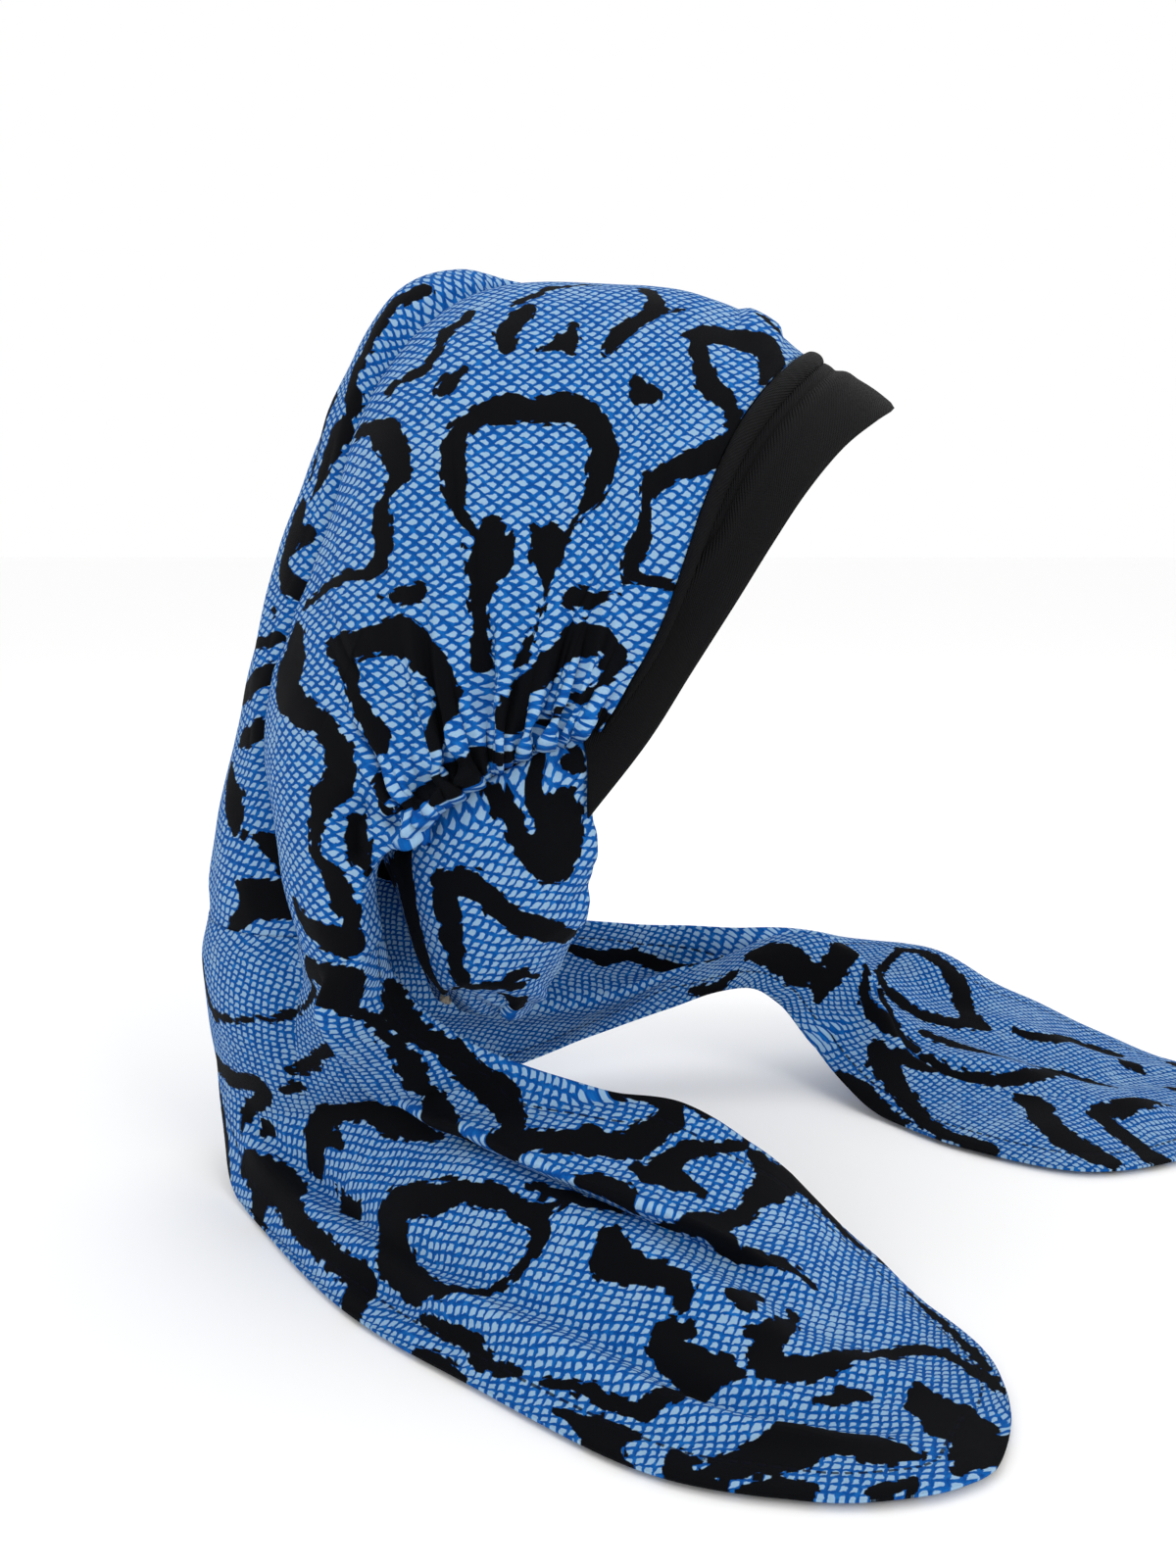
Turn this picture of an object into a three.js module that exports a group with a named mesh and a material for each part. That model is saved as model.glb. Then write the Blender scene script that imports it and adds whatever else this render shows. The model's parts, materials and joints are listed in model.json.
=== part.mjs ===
// A pre-tied turban: a gathered cap of printed cloth on a black knit front band, with a drape and
// two loose double-layer tails behind. Millimetres, +Z up, +X the way the wearer faces, +Y the
// wearer's left. The origin is the top of the head, where the crown of the cap sits on it.
import * as THREE from 'three';

// ---------------------------------------------------------------- driving dimensions
const CLOTH = 1.4; // wall of one layer of printed cloth with its seam allowance
const TAIL_CLOTH = 2.0; // two layers of cloth, turned and topstitched
const KNIT = 2.2; // wall of the doubled knit band
const ELASTIC_WIDE = 6;
const ELASTIC_THICK = 1.2;
const SEAM_GAP = 0.7; // each piece stops this far short of the line it is sewn along
const DEGREE = Math.PI / 180;

const RIGHT = -1; // sides of the wearer, as the sign of Y
const LEFT = 1;

// A table is written as rows under named columns and read as objects.
const table = (columns, rows) =>
  rows.map((row) => Object.fromEntries(columns.map((name, i) => [name, row[i]])));

// One row for each section of the cap, from the band seam, over the head and down the drape.
// hub: where the section starts at the ear; half: half width of the cap there; square: 2 is round,
// more is squarer; curl: how far the cloth turns round the ear side, 90 ends at the hub; lip: how
// far a curl beyond 90 reaches forward; bow: how far the section sweeps back between the middle
// and the ear; seam: the point where the crown meets the back panel, with seamY its distance from
// the middle; crest: the middle of the back panel.
const SECTION_COLUMNS = ['hubX', 'hubZ', 'half', 'square', 'curl', 'lip', 'bow', 'seamX', 'seamZ', 'seamY'];
const CAP = table(
  [...SECTION_COLUMNS, 'crestX', 'crestZ'],
  [
    [-14, -135, 79, 2.0, 90, 0, 13, 54, -22, 0, 54, -22],
    [-20, -136, 81, 2.0, 90, 0, 8, 37, -10, 0, 37, -10],
    [-27, -139, 83, 2.05, 90, 0, 3, 14, -2, 0, 14, -2],
    [-33, -141, 84, 2.1, 90, 0, 0, -12, 0, 0, -12, 0],
    [-39, -144, 85, 2.15, 90, 0, 0, -36, 0, 0, -36, 0],
    [-44, -147, 86, 2.2, 90, 0, 0, -54, -6, 14, -57, 4],
    [-49, -150, 86, 2.2, 90, 0, 0, -72, -22, 26, -78, -4],
    [-53, -153, 86, 2.2, 90, 0, 0, -86, -46, 32, -97, -36],
    [-56, -156, 86, 2.2, 90, 0, 0, -96, -79, 35, -111, -70],
    [-59, -159, 86, 2.2, 90, 0, 0, -106, -102, 36, -120, -98],
    [-64, -162, 86, 2.2, 96, 6, 0, -115, -128, 36, -129, -127],
    [-71, -165, 86, 2.2, 112, 9, 0, -117, -148, 37, -134, -149],
    [-78, -172, 86, 2.2, 122, 9, 0, -114, -168, 40, -139, -170],
    [-82, -185, 86, 2.2, 131, 12, 0, -111, -188, 43, -142, -188],
    [-83, -200, 86, 2.2, 133, 14, 0, -106, -204, 46, -144, -205],
  ],
);
const NOTCH_ROW = 4; // the row where the back panel comes to its point

// ---------------------------------------------------------------- numbers and curves
const clamp = (t, low = 0, high = 1) => Math.min(high, Math.max(low, t));
const mix = (a, b, t) => a + (b - a) * t;
const ease = (t) => clamp(t) ** 2 * (3 - 2 * clamp(t));

// A column of a table at a fractional row, on a smooth curve through the rows.
function column(rows, name, at) {
  const last = rows.length - 1;
  const i = Math.min(Math.floor(clamp(at, 0, last)), last - 1);
  const t = clamp(at, 0, last) - i;
  const [a, b, c, d] = [i - 1, i, i + 1, i + 2].map((k) => rows[clamp(k, 0, last)][name]);
  const inTangent = i === 0 ? c - b : (c - a) / 2;
  const outTangent = i === last - 1 ? c - b : (d - b) / 2;
  const t2 = t * t;
  const t3 = t2 * t;
  return (2 * t3 - 3 * t2 + 1) * b + (t3 - 2 * t2 + t) * inTangent
    + (3 * t2 - 2 * t3) * c + (t3 - t2) * outTangent;
}

const readAll = (rows, at) =>
  Object.fromEntries(Object.keys(rows[0]).map((name) => [name, column(rows, name, at)]));

// ---------------------------------------------------------------- the cap's sections
// The superellipse of one cap section at angle `turn` from the middle of the back; the far side
// of the hub, where the cloth curls under, has its own shorter reach.
function capPoint(row, turn, side) {
  const power = 2 / row.square;
  const across = (row.seamY / row.half) ** row.square;
  const reach = Math.hypot(row.seamX - row.hubX, row.seamZ - row.hubZ) / (1 - across) ** (1 / row.square);
  const angle = Math.atan2(row.seamZ - row.hubZ, row.seamX - row.hubX);
  const cosine = Math.cos(turn);
  const out = Math.sign(cosine) * Math.abs(cosine) ** power * (cosine < 0 ? row.lip : reach);
  const back = row.bow * Math.sin(2 * turn) ** 2;
  return new THREE.Vector3(
    row.hubX + Math.cos(angle) * out - Math.sin(angle) * back,
    side * row.half * Math.sin(turn) ** power,
    row.hubZ + Math.sin(angle) * out + Math.cos(angle) * back,
  );
}

const seamTurn = (row) => Math.asin((row.seamY / row.half) ** (row.square / 2));

// A cap section at a fractional row; the back panel has no width before its point.
function capRow(at) {
  const row = readAll(CAP, at);
  return { ...row, seamY: at > NOTCH_ROW ? Math.max(row.seamY, 0) : 0, lip: Math.max(row.lip, 0) };
}

// Radial tucks that fan out from the gather at each ear. row: where on the cap; wide: in rows;
// deep: mm, outward; reach: how far up the section it runs before it fades.
const TUCKS = table(
  ['row', 'wide', 'deep', 'reach'],
  [
    [0.9, 0.35, 2.6, 0.3],
    [2.0, 0.3, 2.8, 0.34],
    [3.1, 0.35, 3.0, 0.4],
    [4.3, 0.4, 3.2, 0.42],
    [5.8, 0.45, 3.0, 0.4],
    [7.4, 0.5, 3.2, 0.42],
    [9.0, 0.5, 3.0, 0.4],
    [10.6, 0.5, 3.4, 0.45],
    [12.2, 0.55, 2.4, 0.5],
  ],
);

const tuckHeight = (at, v) => TUCKS.reduce((sum, tuck) => {
  const off = (at - tuck.row) / tuck.wide;
  return sum + tuck.deep * Math.exp(-off * off) * ease((v - 1 + tuck.reach) / tuck.reach);
}, 0);

// A point of the crown: `at` is the fractional row, v runs from the seam (0) to the ear (1).
function crownPoint(at, v, side) {
  const row = capRow(at);
  const from = seamTurn(row) + (row.seamY > 0 ? SEAM_GAP / row.half : 0);
  const point = capPoint(row, mix(from, row.curl * DEGREE, v), side);
  point.y += side * tuckHeight(at, v);
  return point;
}

// ---------------------------------------------------------------- sheets of cloth
// A sheet is a list of points and a list of four-sided faces, wound so they face outward.
function gridSheet(countU, countV, pointAt) {
  const points = [];
  const faces = [];
  for (let i = 0; i <= countU; i += 1) {
    for (let j = 0; j <= countV; j += 1) points.push(pointAt(i / countU, j / countV));
  }
  const id = (i, j) => i * (countV + 1) + j;
  for (let i = 0; i < countU; i += 1) {
    for (let j = 0; j < countV; j += 1) faces.push([id(i, j), id(i + 1, j), id(i + 1, j + 1), id(i, j + 1)]);
  }
  return { points, faces };
}

// Gives a sheet its thickness: both faces are set off along the vertex normals and every free
// edge is closed by a wall, so the result is one closed body.
function thicken({ points, faces }, thickness) {
  const normals = points.map(() => new THREE.Vector3());
  for (const [a, b, c, d] of faces) {
    const normal = new THREE.Vector3()
      .subVectors(points[c], points[a])
      .cross(new THREE.Vector3().subVectors(points[d], points[b]));
    for (const k of [a, b, c, d]) normals[k].add(normal);
  }
  const positions = [];
  for (const side of [0.5, -0.5]) {
    points.forEach((point, k) => {
      const moved = point.clone().addScaledVector(normals[k].normalize(), side * thickness);
      positions.push(moved.x, moved.y, moved.z);
    });
  }
  const under = points.length;
  const index = [];
  const quad = (a, b, c, d) => index.push(a, b, c, a, c, d);
  const open = new Map();
  for (const [a, b, c, d] of faces) {
    quad(a, b, c, d);
    quad(under + d, under + c, under + b, under + a);
    for (const [from, to] of [[a, b], [b, c], [c, d], [d, a]]) {
      if (!open.delete(`${to} ${from}`)) open.set(`${from} ${to}`, [from, to]);
    }
  }
  for (const [from, to] of open.values()) quad(to, from, under + from, under + to);
  const geometry = new THREE.BufferGeometry();
  geometry.setAttribute('position', new THREE.Float32BufferAttribute(positions, 3));
  geometry.setIndex(index);
  return geometry;
}

// The crown is one sheet from ear to ear, slit from the notch down to let in the back panel.
function crownSheet() {
  const rowsFront = 10; // to the point of the back panel
  const rowsBack = 22;
  const across = 17; // from the middle or the seam to each ear
  const points = [];
  const faces = [];
  const ids = [];
  for (let i = 0; i <= rowsFront + rowsBack; i += 1) {
    const lastRow = CAP.length - 1;
    const at = i <= rowsFront
      ? (i / rowsFront) * NOTCH_ROW
      : mix(NOTCH_ROW, lastRow, (i - rowsFront) / rowsBack);
    const line = { [RIGHT]: [], [LEFT]: [] };
    for (const side of [RIGHT, LEFT]) {
      for (let j = 0; j <= across; j += 1) {
        const shared = side === LEFT && j === 0 && i <= rowsFront;
        if (shared) {
          line[side].push(line[RIGHT][0]);
        } else {
          line[side].push(points.length);
          points.push(crownPoint(at, j / across, side));
        }
      }
    }
    ids.push(line);
  }
  for (let i = 0; i < rowsFront + rowsBack; i += 1) {
    for (let j = 0; j < across; j += 1) {
      const [here, next] = [ids[i], ids[i + 1]];
      faces.push([here[RIGHT][j], here[RIGHT][j + 1], next[RIGHT][j + 1], next[RIGHT][j]].reverse());
      faces.push([here[LEFT][j], here[LEFT][j + 1], next[LEFT][j + 1], next[LEFT][j]]);
    }
  }
  return { points, faces };
}

// ---------------------------------------------------------------- the back panel
// The gusset between the two seams, puffed out to its crest. v runs from -1 (right seam) to 1.
function backPanelPoint(at, v) {
  const row = capRow(at);
  const half = Math.max(row.seamY - SEAM_GAP, 0.5);
  const square = 2.1;
  const rise = (1 - Math.abs(v) ** square) ** (1 / square);
  return new THREE.Vector3(
    mix(row.seamX, row.crestX, rise),
    half * v,
    mix(row.seamZ, row.crestZ, rise),
  );
}

function backPanelSheet() {
  const first = NOTCH_ROW + 0.14; // just below the point of the notch
  const lastRow = CAP.length - 1;
  return gridSheet(18, 10, (u, v) => {
    const turn = (2 * v - 1) * Math.PI / 2;
    return backPanelPoint(mix(first, lastRow, u), Math.sin(turn));
  });
}

// ---------------------------------------------------------------- the nape pouch
// One row for each section from the gather down to the drawn-in hem; the columns are the cap's,
// with the seam point in the middle of the nape and the curl reaching forward to the front hem.
const NAPE = table(SECTION_COLUMNS, [
  [-40, -150.5, 83.5, 2.3, 112, 60, 0, -84, -174, 0],
  [-40, -165, 84, 2.3, 120, 49, 0, -83, -181, 0],
  [-41, -180, 83, 2.3, 123, 47, 0, -80, -191, 0],
  [-42, -195, 81, 2.3, 126, 41, 0, -76, -202, 0],
  [-43, -208, 77, 2.3, 128, 33, 0, -72, -213, 0],
  [-44, -218, 70, 2.3, 127, 27, 0, -68, -220, 0],
  [-46, -225, 61, 2.3, 120, 22, 0, -65, -226, 0],
]);

// u runs from the gather (0) to the hem (1), v from the right front edge (-1) to the left (1).
function pouchPoint(u, v) {
  const row = readAll(NAPE, u * (NAPE.length - 1));
  const side = v < 0 ? RIGHT : LEFT;
  const point = capPoint({ ...row, seamY: 0 }, Math.abs(v) * row.curl * DEGREE, side);
  point.z -= u === 0 ? SEAM_GAP : 0;
  return point;
}

// ---------------------------------------------------------------- the tails
// One row for each section of a tail, from the hem of the drape to its rounded end, in the order
// of its length. inner: the upper edge, nearer the neck; outer: the lower edge; bulge: how far the
// middle of the section stands off the straight line between them. Y is away from the middle.
const TAIL_COLUMNS = ['innerX', 'innerY', 'innerZ', 'outerX', 'outerY', 'outerZ', 'bulge'];
const RIGHT_TAIL = table(TAIL_COLUMNS, [
  [-73, 56, -202, -144, 1.5, -206, 0],
  [-69, 57, -218, -146, 2, -228, 8],
  [-56, 60, -230, -146, 3, -255, 12],
  [-35, 65, -239, -141, 9, -284, 13],
  [-11, 74, -244, -123, 45, -298, 12],
  [11, 80, -247, -84, 103, -298, 10],
  [31, 84, -260, -40, 145, -298, 8],
  [50, 84, -277, 0, 180, -298, 6],
  [67, 86, -291, 35, 192, -298, 4],
  [81, 98, -298, 60, 192, -298, 3],
  [92, 121, -298, 76, 187, -298, 1],
  [96, 143, -298, 88, 176, -298, 0],
]);
const LEFT_TAIL = table(TAIL_COLUMNS, [
  [-73, 56, -202, -144, 1.5, -206, 0],
  [-69, 57, -218, -146, 3, -228, 8],
  [-56, 62, -228, -145, 8, -256, 12],
  [-30, 74, -232, -134, 24, -286, 12],
  [0, 88, -236, -100, 48, -296, 10],
  [32, 98, -240, -52, 64, -292, 4],
  [64, 106, -244, 2, 70, -272, -6],
  [92, 110, -248, 42, 70, -258, -12],
  [116, 115, -252, 60, 70, -264, -14],
  [137, 118, -258, 76, 72, -284, -12],
  [158, 120, -266, 97, 46, -297, -8],
  [180, 120, -274, 125, 16, -298, -5],
  [202, 117, -283, 160, -4, -298, -3],
  [222, 108, -292, 196, 3, -298, -2],
  [240, 92, -298, 226, 25, -298, -1],
  [249, 72, -298, 243, 48, -298, 0],
]);

// Lengthwise folds of the tails. Each runs from (fromU, fromV) to (toU, toV), u along the tail and
// v from the inner edge to the outer; deep: mm, outward, negative for a valley; wide: in v.
const FOLD_COLUMNS = ['fromU', 'fromV', 'toU', 'toV', 'deep', 'wide'];
const RIGHT_FOLDS = table(FOLD_COLUMNS, [
  [-0.1, 0.62, 0.62, 0.42, -8, 0.09],
  [-0.1, 0.3, 0.7, 0.24, 3, 0.14],
  [0.2, 0.86, 0.82, 0.8, 4, 0.05],
  [0.2, 0.78, 0.82, 0.72, -3, 0.06],
]);
const LEFT_FOLDS = table(FOLD_COLUMNS, [
  [-0.1, 0.62, 0.55, 0.45, -8, 0.09],
  [0.1, 0.3, 0.75, 0.28, 5, 0.12],
  [0.35, 0.5, 0.85, 0.42, -4, 0.06],
]);

const foldHeight = (folds, u, v) => folds.reduce((sum, fold) => {
  const along = (u - fold.fromU) / (fold.toU - fold.fromU);
  const off = (v - mix(fold.fromV, fold.toV, along)) / fold.wide;
  return sum + fold.deep * Math.exp(-off * off) * ease(4 * along) * ease(4 * (1 - along));
}, 0);

// The hem of the drape on one side, from its inner edge (0) to the middle of the back (1).
const HEM_SHARE = 0.62; // the part of the hem that belongs to the crown
const TAIL_PARTING = 0.04; // how far short of the middle each tail stops, as a share of the panel
function hemPoint(v) {
  const last = CAP.length - 1;
  const point = v < HEM_SHARE
    ? crownPoint(last, 1 - v / HEM_SHARE, LEFT)
    : backPanelPoint(last, Math.max((1 - v) / (1 - HEM_SHARE), TAIL_PARTING));
  return point.setZ(point.z - 2 * SEAM_GAP);
}

// A straight section of a tail, before it is bent to the hem and folded.
function tailChord(rows, u) {
  const row = readAll(rows, u * (rows.length - 1));
  const inner = new THREE.Vector3(row.innerX, row.innerY, row.innerZ);
  const outer = new THREE.Vector3(row.outerX, row.outerY, row.outerZ);
  return { inner, outer, bulge: row.bulge };
}

const ROOT = 0.3; // the share of a tail in which the shape of the hem fades out
const STEP = 0.01;

function tailPoint(rows, folds, u, v, side) {
  const here = tailChord(rows, u);
  const before = tailChord(rows, Math.max(u - STEP, 0));
  const after = tailChord(rows, Math.min(u + STEP, 1));
  const flat = (chord) => chord.inner.clone().lerp(chord.outer, v);
  const along = flat(after).sub(flat(before));
  const outward = along.cross(here.outer.clone().sub(here.inner)).normalize();
  const height = here.bulge * Math.sin(Math.PI * v) + foldHeight(folds, u, v);
  const point = flat(here).addScaledVector(outward, height);
  const root = hemPoint(v).sub(flat(tailChord(rows, 0))).multiplyScalar(1 - ease(u / ROOT));
  point.add(root);
  return point.setY(point.y * side);
}

// ---------------------------------------------------------------- the front band and its roll
// The edge of the band on the face, from the middle of the forehead (share 0) to the ear (1).
const FACE_EDGE = table(
  ['faceX', 'faceY', 'faceZ', 'roll'],
  [
    [84, 0, -38, 3.4],
    [81.5, 15, -39.5, 3.4],
    [73, 30, -44, 3.4],
    [60, 44, -53, 3.4],
    [47, 56, -66, 3.4],
    [36, 64, -81, 3.3],
    [25, 69, -98, 3.1],
    [12, 73, -118, 2.8],
    [-1, 75.5, -138, 2.0],
    [-13, 77.5, -154, 0.8],
  ],
);

// The seam of the band at v, -1 at the right ear to 1 at the left: a point on the crown's front
// edge, the way across the band to the face, and the way outward.
function seamFrame(v) {
  const side = v < 0 ? RIGHT : LEFT;
  const share = Math.abs(v);
  const edge = readAll(FACE_EDGE, share * (FACE_EDGE.length - 1));
  const seam = crownPoint(0, share, side);
  const face = new THREE.Vector3(edge.faceX, side * edge.faceY, edge.faceZ);
  const across = face.clone().sub(seam).normalize();
  const near = crownPoint(0, Math.min(Math.abs(v + STEP), 1), v + STEP < 0 ? RIGHT : LEFT);
  const far = crownPoint(0, Math.min(Math.abs(v - STEP), 1), v - STEP < 0 ? RIGHT : LEFT);
  const outward = across.clone().cross(near.sub(far)).normalize();
  return { seam, face, across, outward, roll: edge.roll };
}

const ROLL_GAP = 1.1; // between the cloth walls and the roll
const ROLL_PROUD = 1.6; // how far the roll stands outside the cloth
const ROLL_END = 0.985; // the share of the seam that the roll covers, from the middle to each ear
const BAND_BULGE = 1.5; // how far the middle of the band stands off its straight width

function bandPoint(u, v) {
  const { seam, face, across, outward, roll } = seamFrame(v);
  const start = seam.clone().addScaledVector(across, 2 * (roll + ROLL_GAP));
  return start.lerp(face, u).addScaledVector(outward, BAND_BULGE * Math.sin(Math.PI * u));
}

function rollGeometry() {
  const rings = 44;
  const sides = 7;
  const positions = [];
  const index = [];
  for (let i = 0; i <= rings; i += 1) {
    const { seam, across, outward, roll } = seamFrame(mix(-ROLL_END, ROLL_END, i / rings));
    const centre = seam.clone()
      .addScaledVector(across, roll + ROLL_GAP)
      .addScaledVector(outward, ROLL_PROUD);
    for (let k = 0; k < sides; k += 1) {
      const turn = (k / sides) * 2 * Math.PI;
      const point = centre.clone()
        .addScaledVector(across, roll * Math.cos(turn))
        .addScaledVector(outward, roll * Math.sin(turn));
      positions.push(...point.toArray());
    }
  }
  const id = (i, k) => i * sides + (k % sides);
  for (let i = 0; i < rings; i += 1) {
    for (let k = 0; k < sides; k += 1) {
      const quad = [id(i, k), id(i + 1, k), id(i + 1, k + 1), id(i, k + 1)];
      index.push(quad[0], quad[1], quad[2], quad[0], quad[2], quad[3]);
    }
  }
  for (let k = 1; k < sides - 1; k += 1) {
    index.push(id(0, 0), id(0, k), id(0, k + 1));
    index.push(id(rings, 0), id(rings, k + 1), id(rings, k));
  }
  const geometry = new THREE.BufferGeometry();
  geometry.setAttribute('position', new THREE.Float32BufferAttribute(positions, 3));
  geometry.setIndex(index);
  return geometry;
}

// ---------------------------------------------------------------- the elastic in the nape hem
// The elastic runs down the front edge of the pouch, round the nape and up the other side, a
// little way in from the hem and inside the cloth. s runs along it, across from the hem inward.
const ELASTIC_TOP = 0.2; // where its ends stop, as a share of the way down the front edge
const ELASTIC_INSET = 0.03; // from the hem to the elastic, as a share of the pouch
const ELASTIC_SHARE = ELASTIC_WIDE / 90; // its width as a share of the pouch, 90 mm gather to hem
const ELASTIC_SQUARE = 7; // how square its turn is at the lower front corners
const ELASTIC_OFF = 0.6; // gap between the cloth and the elastic

function elasticPoint(s, across) {
  const inset = ELASTIC_INSET + ELASTIC_SHARE * across;
  const swing = -Math.cos(Math.PI * s);
  const down = (1 - Math.abs(swing) ** ELASTIC_SQUARE) ** (1 / ELASTIC_SQUARE);
  const u = mix(ELASTIC_TOP, 1 - inset, down);
  const v = swing * (1 - inset);
  const alongV = pouchPoint(u, v + STEP).sub(pouchPoint(u, v - STEP));
  const alongU = pouchPoint(Math.min(u + STEP, 1), v).sub(pouchPoint(u - STEP, v));
  const inward = alongU.cross(alongV).normalize();
  return pouchPoint(u, v).addScaledVector(inward, (CLOTH + ELASTIC_THICK) / 2 + ELASTIC_OFF);
}

// ---------------------------------------------------------------- meshes
function clothMesh(name, geometry, color, roughness = 0.85) {
  geometry.computeVertexNormals();
  const material = new THREE.MeshStandardMaterial({ color, roughness, metalness: 0 });
  const mesh = new THREE.Mesh(geometry, material);
  mesh.name = name;
  return mesh;
}

const PRINT_BLUE = 0x4a90d9;
const KNIT_BLACK = 0x101014;
const ELASTIC_CREAM = 0xe6dccb;

function tailSheet(rows, folds, side) {
  const sheet = gridSheet(26, 12, (u, v) => tailPoint(rows, folds, u, v, side));
  if (side === LEFT) sheet.faces.forEach((face) => face.reverse());
  return sheet;
}

const pouchSheet = () => gridSheet(11, 34, (u, v) => pouchPoint(u, 2 * v - 1));
const elasticSheet = () => gridSheet(40, 1, elasticPoint);
const bandSheet = () => gridSheet(4, 40, (u, v) => bandPoint(u, 2 * v - 1));

const rightTail = tailSheet(RIGHT_TAIL, RIGHT_FOLDS, RIGHT);
const leftTail = tailSheet(LEFT_TAIL, LEFT_FOLDS, LEFT);

const group = new THREE.Group();
group.add(
  clothMesh('crown', thicken(crownSheet(), CLOTH), PRINT_BLUE),
  clothMesh('back_panel', thicken(backPanelSheet(), CLOTH), PRINT_BLUE),
  clothMesh('right_tail', thicken(rightTail, TAIL_CLOTH), PRINT_BLUE),
  clothMesh('left_tail', thicken(leftTail, TAIL_CLOTH), PRINT_BLUE),
  clothMesh('nape_pouch', thicken(pouchSheet(), CLOTH), PRINT_BLUE),
  clothMesh('nape_elastic', thicken(elasticSheet(), ELASTIC_THICK), ELASTIC_CREAM),
  clothMesh('front_band', thicken(bandSheet(), KNIT), KNIT_BLACK),
  clothMesh('band_roll', rollGeometry(), KNIT_BLACK),
);

export default group;
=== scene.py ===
"""Looks for a pre-tied turban: printed cloth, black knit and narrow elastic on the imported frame.

The tables hold millimetres; a mesh is scaled to metres when it is made. +X is the way the wearer
faces, +Y the wearer's left and +Z up.
"""

import json
import logging
import math
from dataclasses import dataclass
from enum import Enum

import bpy
import numpy as np
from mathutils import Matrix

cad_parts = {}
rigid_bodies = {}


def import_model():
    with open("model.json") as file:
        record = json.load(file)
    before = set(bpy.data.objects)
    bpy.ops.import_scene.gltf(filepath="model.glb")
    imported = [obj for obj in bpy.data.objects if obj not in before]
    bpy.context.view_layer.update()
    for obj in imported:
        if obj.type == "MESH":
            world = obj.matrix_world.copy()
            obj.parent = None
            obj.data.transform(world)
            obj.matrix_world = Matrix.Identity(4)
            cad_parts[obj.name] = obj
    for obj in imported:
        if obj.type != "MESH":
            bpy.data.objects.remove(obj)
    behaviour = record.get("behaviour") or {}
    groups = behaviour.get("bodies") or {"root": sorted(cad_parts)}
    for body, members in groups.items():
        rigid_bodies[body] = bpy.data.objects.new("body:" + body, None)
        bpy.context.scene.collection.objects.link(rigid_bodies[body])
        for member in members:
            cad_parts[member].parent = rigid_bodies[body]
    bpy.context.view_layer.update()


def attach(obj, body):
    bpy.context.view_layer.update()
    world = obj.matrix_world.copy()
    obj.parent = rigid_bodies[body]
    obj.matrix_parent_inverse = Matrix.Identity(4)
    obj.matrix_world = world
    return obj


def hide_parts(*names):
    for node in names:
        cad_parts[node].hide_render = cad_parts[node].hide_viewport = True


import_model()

LOG = logging.getLogger("turban")
Array = np.ndarray
MM = 0.001
SEED = 7
NOISE_SIDE = 64  # the random heights on each side of the lattice, before they repeat
TINY = 1e-9  # a length too short to divide by
FAR = 1e3  # farther than any two points of the cloth
NO_PRINT = 99.0  # the distance to a black shape or a stitch line where there is none


class Side(Enum):
    """A side of the wearer, as the sign of Y."""

    RIGHT = -1.0
    LEFT = 1.0


# ------------------------------------------------------------------ numbers and curves
def mix(a: Array, b: Array, t: Array) -> Array:
    """The value a share t of the way from a to b."""
    return a + (b - a) * t


def ease(t: Array) -> Array:
    """A soft step from 0 to 1: t squared times 3 minus 2t, held flat outside 0 to 1."""
    held = np.clip(t, 0.0, 1.0)
    return held * held * (3.0 - 2.0 * held)


def bump(t: Array) -> Array:
    """A bell of height 1 at t = 0: e to the minus t squared."""
    return np.exp(-t * t)


@dataclass(frozen=True)
class Table:
    """A short table whose columns are read on a smooth curve through its rows."""

    columns: tuple[str, ...]
    rows: Array

    @classmethod
    def of(cls, columns: str, rows: list[tuple[float, ...]]) -> "Table":
        """Makes a table.

        Args:
            columns: The names of the columns, with spaces between them.
            rows: One tuple of numbers for each row.

        Returns:
            The table.
        """
        return cls(tuple(columns.split()), np.array(rows, float))

    @property
    def last(self) -> int:
        """The number of the last row."""
        return len(self.rows) - 1

    def read(self, at: Array) -> dict[str, Array]:
        """Reads every column at fractional rows.

        Between two rows the curve is the cubic that passes through both with the slope that
        their neighbours set: half the difference of the rows on either side.

        Args:
            at: Fractional row numbers.

        Returns:
            One array for each column, shaped as at.
        """
        at = np.clip(np.asarray(at, float), 0.0, self.last)
        i = np.minimum(np.floor(at).astype(int), self.last - 1)
        t = (at - i)[..., None]
        before, here, after, beyond = (
            self.rows[np.clip(i + k, 0, self.last)] for k in (-1, 0, 1, 2)
        )
        first = (i == 0)[..., None]
        final = (i == self.last - 1)[..., None]
        leave = np.where(first, after - here, (after - before) / 2)
        arrive = np.where(final, after - here, (beyond - here) / 2)
        t2, t3 = t * t, t * t * t
        value = (
            (2 * t3 - 3 * t2 + 1) * here
            + (t3 - 2 * t2 + t) * leave
            + (3 * t2 - 2 * t3) * after
            + (t3 - t2) * arrive
        )
        return {name: value[..., k] for k, name in enumerate(self.columns)}


def smooth_noise(x: Array, y: Array, seed: int) -> Array:
    """Soft random hills from -1 to 1, one unit apart: random heights on a square lattice, eased
    from each corner to the next.

    Args:
        x: The first coordinate, in hills.
        y: The second coordinate, in hills.
        seed: Which set of heights.

    Returns:
        The height at each point.
    """
    heights = np.random.default_rng(seed).uniform(-1.0, 1.0, (NOISE_SIDE, NOISE_SIDE))
    x, y = np.broadcast_arrays(x, y)
    i, j = np.floor(x).astype(int), np.floor(y).astype(int)
    s, t = ease(x - i), ease(y - j)
    near, far = i % NOISE_SIDE, (i + 1) % NOISE_SIDE
    under, over = j % NOISE_SIDE, (j + 1) % NOISE_SIDE
    low = mix(heights[near, under], heights[far, under], s)
    high = mix(heights[near, over], heights[far, over], s)
    return mix(low, high, t)


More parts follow.
